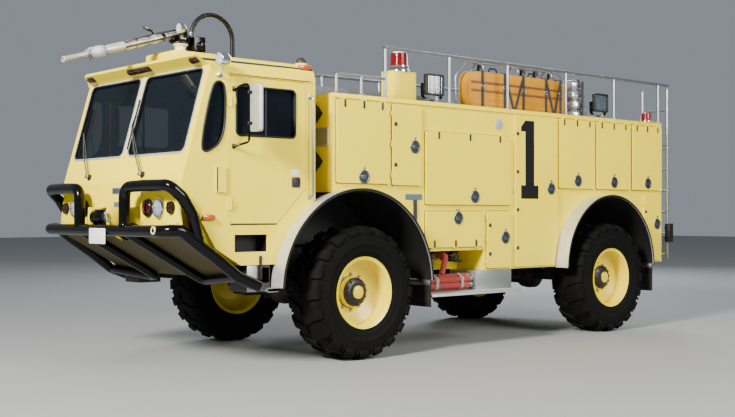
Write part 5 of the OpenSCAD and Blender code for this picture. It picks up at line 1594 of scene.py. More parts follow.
def fit_door(body, door, way):
    """Latch, hinge tabs and rivets of one locker door."""
    latch_x, latch_z = door[-2:]
    cup, lock, well = [on_side(way, forms) for forms in latch(latch_x, latch_z)]
    make(body + "_latch", satin_zinc, cup, body=body, bevel=0.001)
    make(body + "_lock", zinc, lock, body=body)
    make(body + "_latch_well", dash_plastic, well, body=body)
    make(body + "_hinge_tabs", dark_steel, on_side(way, hinge_tabs(door)), body=body, bevel=0.0015)


for number, door in LEFT_DOORS.items():
    fit_door(f"locker_door_left_{number}", door, 1)
for number, door in RIGHT_DOORS.items():
    fit_door(f"locker_door_right_{number}", door, -1)

FRAME_FACE = SIDE_FACE - DOOR_T - 0.005


def door_seal(door):
    """The rubber strip round a door, on the frame behind it."""
    x0, z0, x1, z1 = door[:4]
    return frame_plate(round_outline(x0 - 0.006, z0 - 0.006, x1 + 0.006, z1 + 0.006, 0.024),
        round_outline(x0 + 0.02, z0 + 0.02, x1 - 0.02, z1 - 0.02, 0.012),
        FRAME_FACE - 0.001, FRAME_FACE + 0.0035)


def clear_of_arch(door):
    """A door that the rear wheel arch cuts away gets no straight seal at its foot."""
    return door[1] > 1.8 or door[0] > REAR_AXLE + 1.0


left_seals = [door_seal(d) for d in LEFT_DOORS.values() if clear_of_arch(d)]
right_seals = [mirrored(door_seal(d)) for d in RIGHT_DOORS.values() if clear_of_arch(d)]
make("locker_seals", seal_rubber, left_seals + right_seals)

# %% [markdown]
# The numeral, the plates and the body's trim
# A big plain figure one in black vinyl is on the tall door, drawn from its own outline: a
# stem, a flag at the top and a foot. Small plates round it are blank. Rows of dome rivets
# hold the skin to the frame along the deck's edge and down the panel joints.

# %% Numeral, plates and rivets
NUMERAL = [(-2.76, 2.68), (-2.925, 2.68), (-2.925, 1.885), (-3.005, 1.885), (-3.005, 1.72), (-2.68, 1.72),
           (-2.68, 1.885), (-2.76, 1.885), (-2.76, 2.545), (-2.68, 2.545), (-2.68, 2.6)]
make("door_numeral", numeral_black,
     [plate(NUMERAL, SIDE_FACE - 0.0005, SIDE_FACE + 0.0012)], body="locker_door_left_6")
make("filler_disc", label_grey, [
    turned([(0.062, -0.024), (0.062, 0.003), (0.056, 0.006), (0.02, 0.007), (0, 0.007)],
           (-2.3, 1.197, 2.61), ACROSS, 40)])
make("side_plates", plate_blue, [
    plate(round_outline(-1.02, 1.69, -0.76, 1.755, 0.006), FRAME_FACE - 0.001, FRAME_FACE + 0.004)])
strap_route = [(-0.905, FRAME_FACE + 0.008, 1.69), (-0.905, FRAME_FACE + 0.01, 1.6),
    (-0.905, FRAME_FACE + 0.01, 1.5), (-0.905, FRAME_FACE + 0.005, 1.44)]
make("side_strap", webbing, [strap(strap_route, 0.055, 0.004, ALONG)])


def rivet_tree(skin):
    """A row of dome rivets between two places, set evenly."""
    tree, inputs = new_tree("row_of_rivets", start="Vector", end="Vector", rivets="Int", head_radius="Float")
    ends = {"Start Location": inputs["Start"], "Offset": inputs["End"], "Count": inputs["Rivets"]}
    line = add_node(tree, "GeometryNodeMeshLine", ends, mode="END_POINTS")
    head = add_node(tree, "GeometryNodeMeshUVSphere",
        {"Segments": 10, "Rings": 6, "Radius": inputs["Head radius"]})
    flat = add_node(tree, "GeometryNodeTransform", {"Geometry": head.outputs["Mesh"], "Scale": (1, 0.5, 1)})
    return copies_on(tree, line.outputs[0], flat.outputs[0], skin)


def rivet_row(tree, start, end, pitch, radius=0.006):
    """The mesh of one row, in metres from the front axle."""
    count = max(2, round((Vector(end) - Vector(start)).length / pitch) + 1)
    return through(tree, bpy.data.meshes.new("row"), start=start, end=end, rivets=count, head_radius=radius)


ROWS = [
    ((0.27, FRAME_FACE, 2.775), (-5.68, FRAME_FACE, 2.775)),
    ((0.268, FRAME_FACE, 1.88), (0.268, FRAME_FACE, 2.74)),
    ((-0.525, FRAME_FACE, 1.88), (-0.525, FRAME_FACE, 2.74)),
    ((-1.03, FRAME_FACE, 1.5), (-1.03, FRAME_FACE, 2.74)),
    ((-1.06, FRAME_FACE, 2.52), (-2.5, FRAME_FACE, 2.52)),
    ((-1.06, FRAME_FACE, 1.602), (-2.5, FRAME_FACE, 1.602)),
    ((-2.54, FRAME_FACE, 0.92), (-2.54, FRAME_FACE, 2.74)),
    ((-3.402, FRAME_FACE, 1.75), (-3.402, FRAME_FACE, 2.74)),
    ((-5.685, FRAME_FACE, 0.92), (-5.685, FRAME_FACE, 2.74)),
]
RIVET_PITCH = 0.075
rivets = rivet_tree(body_enamel)
rows = [rivet_row(rivets, *row, RIVET_PITCH) for row in ROWS]
rows += [rivet_row(rivets, *[(x, -y, z) for x, y, z in row], RIVET_PITCH) for row in ROWS]
gather("body_rivets", "truck", body_enamel, rows, Matrix.Translation((AXLE_X, 0, 0)))
print("locker doors fitted:", len(LEFT_DOORS) + len(RIGHT_DOORS))

# %% [markdown]
# Deck edge
# A folded channel caps the top of the walls, and the deck between them is tread plate. A
# drip rail runs along the side above the doors.

# %% Deck edge and deck
DECK_FRONT = 0.29
cap = slab((BODY_REAR, 1.165, DECK - 0.0005), (DECK_FRONT, FRAME_FACE + 0.01, DECK + 0.006))
lip = slab((BODY_REAR, FRAME_FACE - 0.001, DECK - 0.04), (DECK_FRONT, FRAME_FACE + 0.01, DECK + 0.006))
make("deck_edge_caps", body_enamel, both(cap, lip), bevel=0.003)
make("deck_plate", plate_aluminium, [
    slab((BODY_REAR + 0.041, -1.152, DECK - 0.0305), (DECK_FRONT - 0.041, 1.152, DECK - 0.0285))])
drip = pipe([(0.262, FRAME_FACE + 0.008, 2.762), (-5.68, FRAME_FACE + 0.008, 2.762)], 0.008, sides=10)
make("drip_rails", body_enamel, both(drip))

# %% [markdown]
# Steps, running boards and the hose tray
# A boxed step with a foot pocket hangs under each side of the cab, with an aluminium
# lip and a checker-plate cheek. The box is painted black as painted shade for the shadow under
# the cab. Between the wheels a flat running board carries the left side's hoses under the tray
# door, and checker plate faces the box behind them.

# %% Steps and running boards
BOARD_FRONT, BOARD_REAR = -0.98, -2.47
SKIRT = (-2.52, -1.9)
STEP_OUT = 1.2

step_box = [slab((1.1, 0.9, 0.76), (1.11, STEP_OUT, 1.0297)),
    slab((1.23, 0.9, 0.76), (1.38, STEP_OUT, 1.0297)), slab((1.108, 0.9, 0.76), (1.232, STEP_OUT, 0.85)),
    slab((1.108, 0.9, 1.0), (1.232, STEP_OUT, 1.0297)), slab((1.108, 0.9, 0.848), (1.232, 1.04, 1.002))]
# The step boxes are body-yellow steel, painted black here as painted shade for the shadow under the cab.
make("cab_step_boxes_painted_shade", chassis_black, both(*step_box), slot="body_yellow", bevel=0.003,
     stands_for=["steps_and_rails"])
make("cab_step_pockets", seal_rubber,
    both(slab((1.109, 1.0395, 0.849), (1.231, 1.0435, 1.001)),
        slab((1.1095, 1.042, 0.8495), (1.1125, 1.197, 1.0005)),
        slab((1.2275, 1.042, 0.8495), (1.2305, 1.197, 1.0005)),
        slab((1.11, 1.042, 0.9975), (1.23, 1.197, 1.0005))))
make("cab_step_lips", plate_aluminium, both(
    slab((1.105, 1.17, 0.77), (1.235, 1.35, 0.8)), slab((1.105, 1.34, 0.762), (1.235, 1.35, 0.8)),
    slab((1.232, STEP_OUT - 0.001, 0.765), (1.382, STEP_OUT + 0.004, 1.026))), bevel=0.002)
make("cab_step_rubbers", seal_rubber, both(
    slab((1.215, STEP_OUT + 0.002, 0.88), (1.25, STEP_OUT + 0.03, 1.12))), bevel=0.008)
make("foot_pocket_liners", seal_rubber,
    both(slab((1.152, 1.0705, 1.162), (1.538, 1.0745, 1.328)),
        slab((1.1505, 1.0725, 1.1605), (1.1545, 1.206, 1.3295)),
        slab((1.5355, 1.0725, 1.1605), (1.5395, 1.206, 1.3295)),
        slab((1.1525, 1.0725, 1.3255), (1.5375, 1.206, 1.3295)),
        slab((1.1525, 1.0725, 1.1605), (1.5375, 1.206, 1.1645))))

board = slab((BOARD_REAR, 0.76, 0.634), (BOARD_FRONT, 1.398, 0.64))
board_edge = slab((BOARD_REAR, 1.392, 0.61), (BOARD_FRONT, 1.398, 0.64))
board_ribs = [slab((x - 0.015, 0.78, 0.612), (x + 0.015, 1.393, 0.635)) for x in (-2.4, -2.0, -1.6, -1.2)]
skirt = slab((SKIRT[0], 0.762, 0.632), (SKIRT[1], STEP_OUT, 0.8695))
rear_flange = slab((-1.04, 0.76, 0.632), (BOARD_FRONT, 0.8, 0.8695))
make("running_boards", band_aluminium,
     both(board, board_edge, rear_flange, *board_ribs), bevel=0.0015)
make("running_board_skirts", plate_aluminium, both(skirt), bevel=0.002)

hand_rail = bent([(0.61, SIDE_FACE + 0.001, 2.73), (0.61, SIDE_FACE + 0.05, 2.73),
    (0.61, SIDE_FACE + 0.05, 1.7), (0.61, SIDE_FACE + 0.001, 1.7)], 0.035)
rail_feet = [turned([(0.026, 0.0003), (0.026, 0.006), (0.015, 0.01)], (0.61, SIDE_FACE, z), ACROSS, 24)
    for z in (1.7, 2.73)]
make("cab_hand_rails", rail_aluminium_with_painted_shade, both(pipe(hand_rail, 0.014, sides=20), *rail_feet))

rear_step = [slab((BODY_REAR - 0.15, -0.9, 0.932), (BODY_REAR - 0.0003, 0.6, 0.94)),
    slab((BODY_REAR - 0.15, -0.9, 0.88), (BODY_REAR - 0.142, 0.6, 0.934)),
    slab((BODY_REAR - 0.15, -0.9, 0.88), (BODY_REAR - 0.0003, -0.892, 0.934)),
    slab((BODY_REAR - 0.15, 0.592, 0.88), (BODY_REAR - 0.0003, 0.6, 0.934))]
make("rear_step", plate_aluminium, rear_step, bevel=0.0015)

# %% [markdown]
# Hoses in the tray
# Seven lengths of red suction hose lie on the board with two grey straps over them. Each is
# a ribbed tube with a coupling at both ends. One more comes down out of the tray recess, where
# a valve with its hand wheel shows in the shadow.

# %% Hoses and pump fittings
HOSE_R = 0.034
HOSE_ENDS = (-1.88, -1.12)
RIB_STEPS = 38
BUNDLE_Z = 0.6403 + 3 * HOSE_R - 0.002
BUNDLE_Y = 1.08


def ribbed_hose(y, z):
    """A hose with ribs 3.5 mm high, between its two couplings."""
    low, high = HOSE_ENDS[0] + 0.05, HOSE_ENDS[1] - 0.05
    ribs = [(HOSE_R - 0.0035 * (i % 2), low + (high - low) * i / RIB_STEPS) for i in range(RIB_STEPS + 1)]
    return turned([(0, low)] + ribs + [(0, high)], (0, y, z), ALONG, 20)


def coupling(y, z, x, way):
    """A hose coupling that ends the hose towards the way it points."""
    return turned([(0.0, 0.0), (0.026, 0.0), (0.028, 0.004), (0.028, 0.018), (0.0325, 0.02),
        (0.0325, 0.034), (0.029, 0.036), (0.029, 0.052), (0, 0.052)], (x, y, z), axis=(way, 0, 0),
        steps=20)


places = [(BUNDLE_Y, BUNDLE_Z)] + [
    (BUNDLE_Y + (2 * HOSE_R - 0.002) * math.cos(math.radians(a)),
        BUNDLE_Z + (2 * HOSE_R - 0.002) * math.sin(math.radians(a))) for a in range(30, 390, 60)]
make("suction_hoses", hose_jacket, [ribbed_hose(y, z) for y, z in places],
     stands_for=["hose_bundle"], smooth_to=50)
make("hose_couplings", zinc,
     [coupling(y, z, HOSE_ENDS[0] + 0.052, -1) for y, z in places] +
     [coupling(y, z, HOSE_ENDS[1] - 0.052, 1) for y, z in places])
STRAP_OFF = 3 * HOSE_R + 0.001


def strap_round(x):
    """A strap round the bundle, drawn in a little between the hoses."""
    route = []
    for a in range(-60, 245, 12):
        t = math.radians(a)
        ripple = 0.5 + 0.5 * math.cos(6 * (t - math.radians(30)))
        r = STRAP_OFF - 0.013 * (1 - ripple)
        route.append((x, BUNDLE_Y + r * math.cos(t), max(BUNDLE_Z + r * math.sin(t), 0.643)))
    return strap(route, 0.045, 0.003, ALONG)


make("hose_straps", grey_webbing, [strap_round(-1.7), strap_round(-1.29)])
riser = bent([(-1.45, 0.77, 1.02), (-1.45, 1.04, 1.05), (-1.44, 1.15, 1.06), (-1.4, 1.165, 0.96),
    (-1.34, 1.185, 0.845)], 0.06)
make("riser_hose", hose_jacket, [pipe(riser, 0.033, sides=20)])
make("riser_couplings", zinc,
    [turned([(0.034, 0), (0.042, 0.0), (0.042, 0.03), (0.037, 0.034), (0.037, 0.05), (0.034, 0.05)],
        (-1.45, 0.96, 1.041), axis=(0, 1, 0.11), steps=24)])

valve_wheel = closed_ring([(0.052, -0.007), (0.06, -0.007), (0.06, 0.007), (0.052, 0.007)],
    (-1.62, 1.12, 1.03), ACROSS, 32)
spokes = [
    strap([(-1.62 + 0.056 * math.cos(t), 1.12, 1.03 + 0.056 * math.sin(t)),
        (-1.62 - 0.056 * math.cos(t), 1.12, 1.03 - 0.056 * math.sin(t))], 0.01, 0.008, ACROSS)
    for t in (0.3, 1.35, 2.4)]
fittings = [pipe([(-1.62, 0.77, 1.03), (-1.62, 1.122, 1.03)], 0.012, sides=12),
    turned([(0.04, 0.0), (0.046, 0.05), (0.03, 0.12)], (-1.62, 0.9, 1.03), ACROSS, 24),
    pipe(bent([(-1.85, 0.78, 0.98), (-1.85, 1.0, 0.98), (-1.78, 1.02, 0.98), (-1.64, 1.02, 1.02)], 0.05),
        0.018, sides=14)]
make("tray_fittings", dark_steel, fittings)
make("tray_manifold", tube_black, [
    pipe([(-1.93, 0.85, 1.095), (-1.42, 0.85, 1.095)], 0.04, sides=24),
    slab((-1.59, 0.8, 1.04), (-1.45, 0.93, 1.15))] + [
    turned([(0.055, -0.01), (0.055, 0.01)], (x, 0.85, 1.095), ALONG, 24)
    for x in (-1.8, -1.66, -1.43)], bevel=0.004)
make("tray_hand_wheel", dark_steel, [valve_wheel] + spokes)

# %% [markdown]
# Bellows, air grille and mud flaps
# The gap behind the cab is closed by two moulded rubber folds, each with rolled edges and
# fine creases along its slopes. Between them, on the body's front wall, is a grey air grille
# of crossed wires in a frame. The mud flaps hang on bolted steel strips.

# %% Bellows, grille and flaps
BELLOWS_X = (0.2903, 0.5397)
FOLD_H = 0.32
fold_forms = []
for z in (1.93, 2.44):
    half = [(0.86, 0.0), (0.9, 0.04), (0.915, 0.044), (0.955, 0.084), (0.97, 0.088), (1.018, 0.14),
        (1.04, 0.16), (1.018, 0.18), (0.97, 0.232), (0.955, 0.236), (0.915, 0.276), (0.9, 0.28),
        (0.86, 0.32)]
    outer = [(y, z + h) for y, h in half] + [(-y, z + h) for y, h in reversed(half)]
    inner = [(y * 0.9905, z + 0.01 + h * (FOLD_H - 0.02) / FOLD_H) for y, h in half]
    inner += [(-y, h) for y, h in reversed(inner)]
    fold_forms.append(frame_plate(outer, inner, *BELLOWS_X, axis="x"))
make("bellows_folds", seal_rubber, fold_forms, bevel=0.004, stands_for=["bellows"])

GRILLE = (0.7, 1.12, 2.265, 2.425)
wires = []
for k in range(22):
    y = GRILLE[0] + 0.01 + k * (GRILLE[1] - GRILLE[0] - 0.02) / 21
    wires.append(pipe([(0.296, y, GRILLE[2]), (0.296, y, GRILLE[3])], 0.003, sides=6))
for k in range(8):
    z = GRILLE[2] + 0.012 + k * (GRILLE[3] - GRILLE[2] - 0.024) / 7
    wires.append(pipe([(0.301, GRILLE[0], z), (0.301, GRILLE[1], z)], 0.003, sides=6))
make("air_grille_wires", label_grey, both(*wires))
make("air_grille_frame", band_aluminium, both(frame_plate(
    round_outline(GRILLE[0] - 0.02, GRILLE[2] - 0.02, GRILLE[1] + 0.02, GRILLE[3] + 0.02, 0.01),
    round_outline(GRILLE[0], GRILLE[2], GRILLE[1], GRILLE[3], 0.004), 0.2895, 0.305, axis="x")), bevel=0.002)
make("flap_strips", zinc, both(
    slab((-0.9805, 0.945, 0.74), (-0.96, 1.375, 0.795)), slab((-5.2125, 0.945, 0.8), (-5.19, 1.375, 0.855))),
    bevel=0.002)
print("steps, tray and bellows made")

# %% [markdown]
# Deck gear: beacons and floodlights
# Two painted boxes carry the red rotating beacons, each on a chrome base, and a third stands
# at the left rear corner. Two floodlights face the left side: a square housing with grey
# ribbed glass behind a wire guard, swung in a curved black yoke.

# %% Beacons and floodlights
LAMP_Y, LAMP_X = 0.95, -0.89
DECK_FLOOR = DECK - 0.0297
red_dome = [(0.1, 0.0), (0.104, 0.012), (0.104, 0.03), (0.099, 0.036), (0.095, 0.15), (0.088, 0.176),
            (0.06, 0.186), (0, 0.188)]


def beacon(x, y, z, grow=1.0):
    """The chrome base and band of a beacon, and its red lens."""
    base = turned([(0.119 * grow, 0.0), (0.119 * grow, 0.012), (0.112 * grow, 0.03), (0.107 * grow, 0.04),
        (0.104 * grow, 0.042)], (x, y, z), steps=40)
    band = turned([(0.1045 * grow, 0.0), (0.1075 * grow, 0.003), (0.1075 * grow, 0.017),
        (0.1045 * grow, 0.02)], (x, y, z + 0.052), steps=40)
    lens_form = turned([(r * grow, along * grow) for r, along in red_dome], (x, y, z + 0.041), steps=40)
    return [base, band], [lens_form]


metal, glass = [], []
for y in (LAMP_Y, -LAMP_Y):
    more_metal, more_glass = beacon(LAMP_X, y, DECK_FLOOR + 0.369)
    metal, glass = metal + more_metal, glass + more_glass
rear_metal, rear_glass = beacon(-5.565, 1.04, DECK_FLOOR, 0.78)
box_forms = both(
    slab((-1.068, LAMP_Y - 0.098, DECK_FLOOR + 0.0003), (-0.712, LAMP_Y + 0.098, DECK_FLOOR + 0.355)),
    slab((-1.07, LAMP_Y - 0.1, DECK_FLOOR + 0.35), (-0.71, LAMP_Y + 0.1, DECK_FLOOR + 0.369)))
make("beacon_boxes", body_enamel, box_forms, bevel=0.006, stands_for=["deck_lamps"])
make("beacon_bases", chrome, metal + rear_metal)
make("beacon_lenses", red_lens, glass + rear_glass, smooth_to=50)
box_screws = [turned([(0.007, -0.001), (0.007, 0.003), (0, 0.004)], (x, LAMP_Y + 0.098, z), ACROSS, 12)
    for x in (-1.045, -0.735) for z in (DECK_FLOOR + 0.04, DECK_FLOOR + 0.31)]
make("beacon_box_screws", zinc, both(*box_screws))

FLOOD_X, FLOOD_Z, FLOOD_FRONT = (-1.365, -4.51), 3.025, 1.06
flood_body, flood_glass, flood_yoke, flood_rim, flood_wires = [], [], [], [], []
for x in FLOOD_X:
    flood_body.append(
        turned([(0, 0), (0.05, 0.0), (0.06, 0.004), (0.1, 0.05), (0.114, 0.088), (0.114, 0.092)],
            (x, 0.926, FLOOD_Z), ACROSS, 32))
    flood_rim.append(
        frame_plate(round_outline(x - 0.149, FLOOD_Z - 0.125, x + 0.149, FLOOD_Z + 0.125, 0.03),
            round_outline(x - 0.126, FLOOD_Z - 0.102, x + 0.126, FLOOD_Z + 0.102, 0.02),
            1.015, FLOOD_FRONT - 0.001))
    flood_rim.append(plate(round_outline(x - 0.147, FLOOD_Z - 0.123, x + 0.147, FLOOD_Z + 0.123, 0.03),
        1.013, 1.019))
    flood_glass.append(plate(round_outline(x - 0.127, FLOOD_Z - 0.103, x + 0.127, FLOOD_Z + 0.103, 0.02),
        1.04, 1.044))
    for k in range(-5, 6):
        flood_wires.append(
            pipe([(x + k * 0.021, 1.054, FLOOD_Z - 0.106), (x + k * 0.021, 1.054, FLOOD_Z + 0.106)],
                0.0016, sides=6))
    for k in range(-4, 5):
        flood_wires.append(
            pipe([(x - 0.13, 1.0508, FLOOD_Z + k * 0.0225), (x + 0.13, 1.0508, FLOOD_Z + k * 0.0225)],
                0.0016, sides=6))
    route = bent([(x - 0.157, 1.0, FLOOD_Z + 0.01), (x - 0.157, 1.0, 2.856), (x + 0.157, 1.0, 2.856),
        (x + 0.157, 1.0, FLOOD_Z + 0.01)], 0.09, steps=8)
    flood_yoke.append(strap(route, 0.044, 0.007, ACROSS))
    flood_yoke.append(turned([(0.029, 0.0), (0.029, 0.07), (0.024, 0.078)], (x, 1.0, DECK_FLOOR + 0.0003),
        steps=24))
    for side in (-1, 1):
        flood_yoke.append(turned([(0.02, 0.0), (0.02, 0.006), (0.01, 0.012), (0, 0.012)],
            (x + side * 0.1485, 1.0, FLOOD_Z), (side, 0, 0), 16))
make("floodlight_housings", dark_steel, flood_body + flood_rim, slot="lamp_chrome", bevel=0.003)
make("floodlight_glass", flood_glass_grey, flood_glass)
make("floodlight_guards", chrome, flood_wires)
make("floodlight_yokes", tube_black, flood_yoke, bevel=0.001)
make("floodlight_reflectors", plate_blue, [
    turned([(0.0, 0.0), (0.05, 0.003), (0.088, 0.018), (0.092, 0.019)], (x, 1.0195, FLOOD_Z), ACROSS, 32)
    for x in FLOOD_X], slot="lamp_chrome", smooth_to=60)

# %% [markdown]
# Rescue stretcher and blankets
# The moulded orange stretcher lies on edge along the left rail. It is a shallow tub with a
# rolled rim and two brown rubbing strips, held by black straps and two hoops. Its carrying
# frame is grey tube. Behind it a stack of foil blankets is folded into fat crumpled rolls.

# %% Stretcher
TUB = [(-3.8, 2.86), (-3.73, 2.7703), (-2.12, 2.7703), (-2.01, 2.83), (-1.97, 2.92), (-1.97, 3.16),
       (-2.03, 3.25), (-2.13, 3.27), (-3.73, 3.27), (-3.8, 3.19)]
rim_line = smoothed(TUB)
tub_parts = [plate(inset(rim_line, 0.012), 0.99, 1.008)]
wall = inset(rim_line, 0.014)
tub_parts.append(frame_plate(wall, inset(wall, 0.014), 0.854, 1.006))
tub_parts.append(frame_plate(inset(rim_line, 0.001), inset(rim_line, 0.03), 0.8505, 0.868))
for z in (2.872, 2.95, 3.205):
    tub_parts.append(plate(round_outline(-3.7, z - 0.014, -2.11, z + 0.014, 0.013), 1.0, 1.0098))
make("stretcher_tub", stretcher_plastic, tub_parts, bevel=0.005, stands_for=["stretcher"])
make("stretcher_strips", groove_brown,
    [plate(round_outline(-3.745, z - 0.016, -2.015, z + 0.016, 0.015), 1.004, 1.0098)
        for z in (3.023, 3.123)], bevel=0.002)
STRAP_X = (-2.215, -2.62, -2.97, -3.41, -3.7)
bands = [
    strap([(x, 1.0125, 2.784), (x, 1.0125, 3.262), (x, 1.004, 3.272), (x, 0.852, 3.272),
        (x, 0.8475, 3.262), (x, 0.8475, 3.14)], 0.044, 0.003, ALONG) for x in STRAP_X]
bands += [strap([(a, 1.0145, 3.255), (b, 1.0145, 2.8)], 0.038, 0.003, (3.255 - 2.8, 0, b - a))
          for a, b in ((-2.62, -2.79), (-2.97, -2.8), (-3.41, -3.56), (-3.7, -3.57))]
make("stretcher_straps", webbing, bands)
make("strap_buckles", chrome,
    [
        frame_plate(round_outline(x - 0.031, 3.06, x + 0.031, 3.104, 0.008),
            round_outline(x - 0.023, 3.068, x + 0.023, 3.096, 0.004), 1.0115, 1.0185) for x in STRAP_X],
    bevel=0.001)
FRAME_Y = 0.8385
frame_tubes = []
for z in (3.21, 2.85):
    frame_tubes.append(pipe([(-3.74, FRAME_Y, z), (-2.02, FRAME_Y, z)], 0.012, sides=14))
frame_tubes.append(
    pipe(
        bent([(-3.73, FRAME_Y, 3.21), (-3.79, FRAME_Y, 3.16), (-3.79, FRAME_Y, 2.9),
            (-3.73, FRAME_Y, 2.85)], 0.05), 0.012, sides=14))
for x in (-3.5, -2.85, -2.21):
    frame_tubes.append(
        pipe(
            bent([(x, FRAME_Y, 2.775), (x, FRAME_Y, 3.31), (x, 0.91, 3.37), (x, 1.02, 3.33),
                (x, 1.03, 3.29)], 0.05), 0.011, sides=14))
frame_tubes.append(
    pipe(
        bent([(-1.93, 0.91, 2.8), (-1.85, 0.91, 2.9), (-1.85, 0.91, 3.2),
            (-2.05, 0.91, 3.368), (-3.76, 0.91, 3.368), (-3.88, 0.91, 3.28),
            (-3.88, 0.91, 2.9), (-3.82, 0.91, 2.8)], 0.12), 0.011, sides=14))
make("stretcher_frame", zinc, frame_tubes)
slings = [
    strap([(x, 0.985, 3.274), (x, 0.93, 3.3), (x, 0.912, 3.384), (x, 0.884, 3.386), (x, 0.872, 3.3),
        (x, 0.862, 3.274)], 0.05, 0.003, ALONG) for x in (-2.29, -3.08, -3.33, -3.62)]
make("stretcher_slings", webbing, slings)
make("stretcher_grips", seal_rubber,
    [
        pipe(
            bent([(x - 0.075, 0.99, 3.264), (x - 0.055, 0.99, 3.305), (x + 0.055, 0.99, 3.305),
                (x + 0.075, 0.99, 3.264)], 0.02), 0.009, sides=12) for x in (-3.15, -2.42)])

# %% Foil blankets
FOLDS, FOLD_STEP = 4, 0.131


def foil_fold(k):
    """One fat fold: a round-edged cushion whose skin is creased at random, but the same each run."""
    x0, x1 = -4.2 + 0.008 * k, -3.93 - 0.002 * k
    y0, y1 = 0.8 + 0.006 * k, 1.08 - 0.008 * k
    z0 = DECK_FLOOR + 0.0003 + FOLD_STEP * k
    z1 = z0 + 0.13
    span, rows = 34, 15
    verts, faces = [], []
    for r in range(rows):
        turn = math.pi * r / (rows - 1)
        in_by = 0.045 * (1 - math.sin(turn) ** 0.6)
        z = z0 + (z1 - z0) * (1 - math.cos(turn)) / 2
        for i in range(span):
            t = 2 * math.pi * i / span
            a, b = math.cos(t), math.sin(t)
            reach = 1 / (abs(a) ** 5 + abs(b) ** 5) ** 0.2
            crease = 0.006 * (noise.noise(Vector((a * 4 + 3.1 * k, b * 4, z * 24))) - 0.35) + \
                0.003 * (noise.noise(Vector((a * 11, b * 11 + k, z * 60))) - 0.4)
            half_x, half_y = (x1 - x0) / 2 - in_by + crease, (y1 - y0) / 2 - in_by + crease
            verts.append(((x0 + x1) / 2 + a * reach * half_x, (y0 + y1) / 2 + b * reach * half_y, z))
    for r in range(rows - 1):
        for i in range(span):
            j = (i + 1) % span
            faces.append((r * span + i, r * span + j, (r + 1) * span + j, (r + 1) * span + i))
    faces += [tuple(range(span)), tuple(range((rows - 1) * span, rows * span))]
    return verts, faces


make("foil_blankets", blanket_foil, [foil_fold(k) for k in range(FOLDS)],
     stands_for=["blanket_stack"], smooth_to=30)
make("blanket_strap", webbing, [
    strap([(-4.065, 0.794, 2.79), (-4.065, 0.794, 3.292), (-4.065, 0.806, 3.3), (-4.065, 1.05, 3.3),
           (-4.065, 1.084, 3.27), (-4.065, 1.084, 2.79)], 0.04, 0.003, ALONG)])

# %% [markdown]
# Ladders and rails
# Round flanges with four bolts carry every rail post, a turned sleeve joins the side
# bars to each post.

# %% Ladders and rails
RAIL_Y = 1.17
flange = [(0.04, 0.0), (0.04, 0.006), (0.024, 0.009), (0.02, 0.016)]
TALL_POSTS = (-0.48, -1.48, -2.49, -3.61, -4.63, -5.66)
POSTS = TALL_POSTS + (0.22, -0.13)
post_feet = [turned(flange, (x, RAIL_Y, DECK + 0.006), steps=28) for x in POSTS]
foot_bolts = [turned([(0.0055, 0), (0.0055, 0.004), (0, 0.004)],
    (x + 0.029 * math.cos(t), RAIL_Y + 0.029 * math.sin(t), DECK + 0.012), steps=6)
    for x in POSTS for t in (0.785, 2.356, 3.927, 5.498)]
make("rail_flanges", rail_aluminium_with_painted_shade, both(*post_feet))
make("rail_flange_bolts", zinc, both(*foot_bolts))
sleeves = [turned([(0.0215, -0.014), (0.0235, -0.012), (0.0235, 0.012), (0.0215, 0.014)],
    (x, RAIL_Y, 3.322), steps=24) for x in TALL_POSTS]
make("rail_sleeves", zinc, both(*sleeves))
print("deck gear made")

# %% [markdown]
# Mirrors and door trim
# Each door carries a tall mirror on a bent black tube: an aluminium back shell with rounded
# edges, silvered glass in its shallow face, and two clamps. A soft rubber strip runs round
# each cab door, and a latch plate with a small blank label sits behind its handle.

# %% Mirrors
GUTTER = 2.89
MIRROR_FOOT = GUTTER - 0.7
MIRROR_X, MIRROR_Y = (1.392, 1.437), (1.326, 1.488)
MIRROR_Z = (MIRROR_FOOT + 0.14, MIRROR_FOOT + 0.6)
MIRROR_TUBE = (1.44, 1.322)
PAD_X, PAD_OUT = 1.555, 1.234

arm = bent([(PAD_X, PAD_OUT - 0.002, MIRROR_FOOT), (*MIRROR_TUBE, MIRROR_FOOT + 0.04),
            (*MIRROR_TUBE, MIRROR_FOOT + 0.625), (PAD_X, PAD_OUT - 0.002, MIRROR_FOOT + 0.555)], 0.05)
mirror_arm = [pipe(arm, 0.0118, sides=18)]
for z in (MIRROR_FOOT, MIRROR_FOOT + 0.555):
    mirror_arm.append(slab((PAD_X - 0.015, 1.2203, z - 0.024), (PAD_X + 0.015, PAD_OUT, z + 0.024)))
shell = [frame_plate(round_outline(MIRROR_Y[0], MIRROR_Z[0], MIRROR_Y[1], MIRROR_Z[1], 0.022),
    round_outline(MIRROR_Y[0] + 0.009, MIRROR_Z[0] + 0.009, MIRROR_Y[1] - 0.009, MIRROR_Z[1] - 0.009,
        0.015), MIRROR_X[0], MIRROR_X[1] - 0.004, axis="x"),
    plate(round_outline(MIRROR_Y[0] + 0.001, MIRROR_Z[0] + 0.001, MIRROR_Y[1] - 0.001,
        MIRROR_Z[1] - 0.001, 0.022), MIRROR_X[0] + 0.008, MIRROR_X[1], axis="x")]
silver = [
    plate(round_outline(MIRROR_Y[0] + 0.0085, MIRROR_Z[0] + 0.0085, MIRROR_Y[1] - 0.0085,
        MIRROR_Z[1] - 0.0085, 0.015), MIRROR_X[0] + 0.003, MIRROR_X[0] + 0.0085, axis="x")]
clamps = []
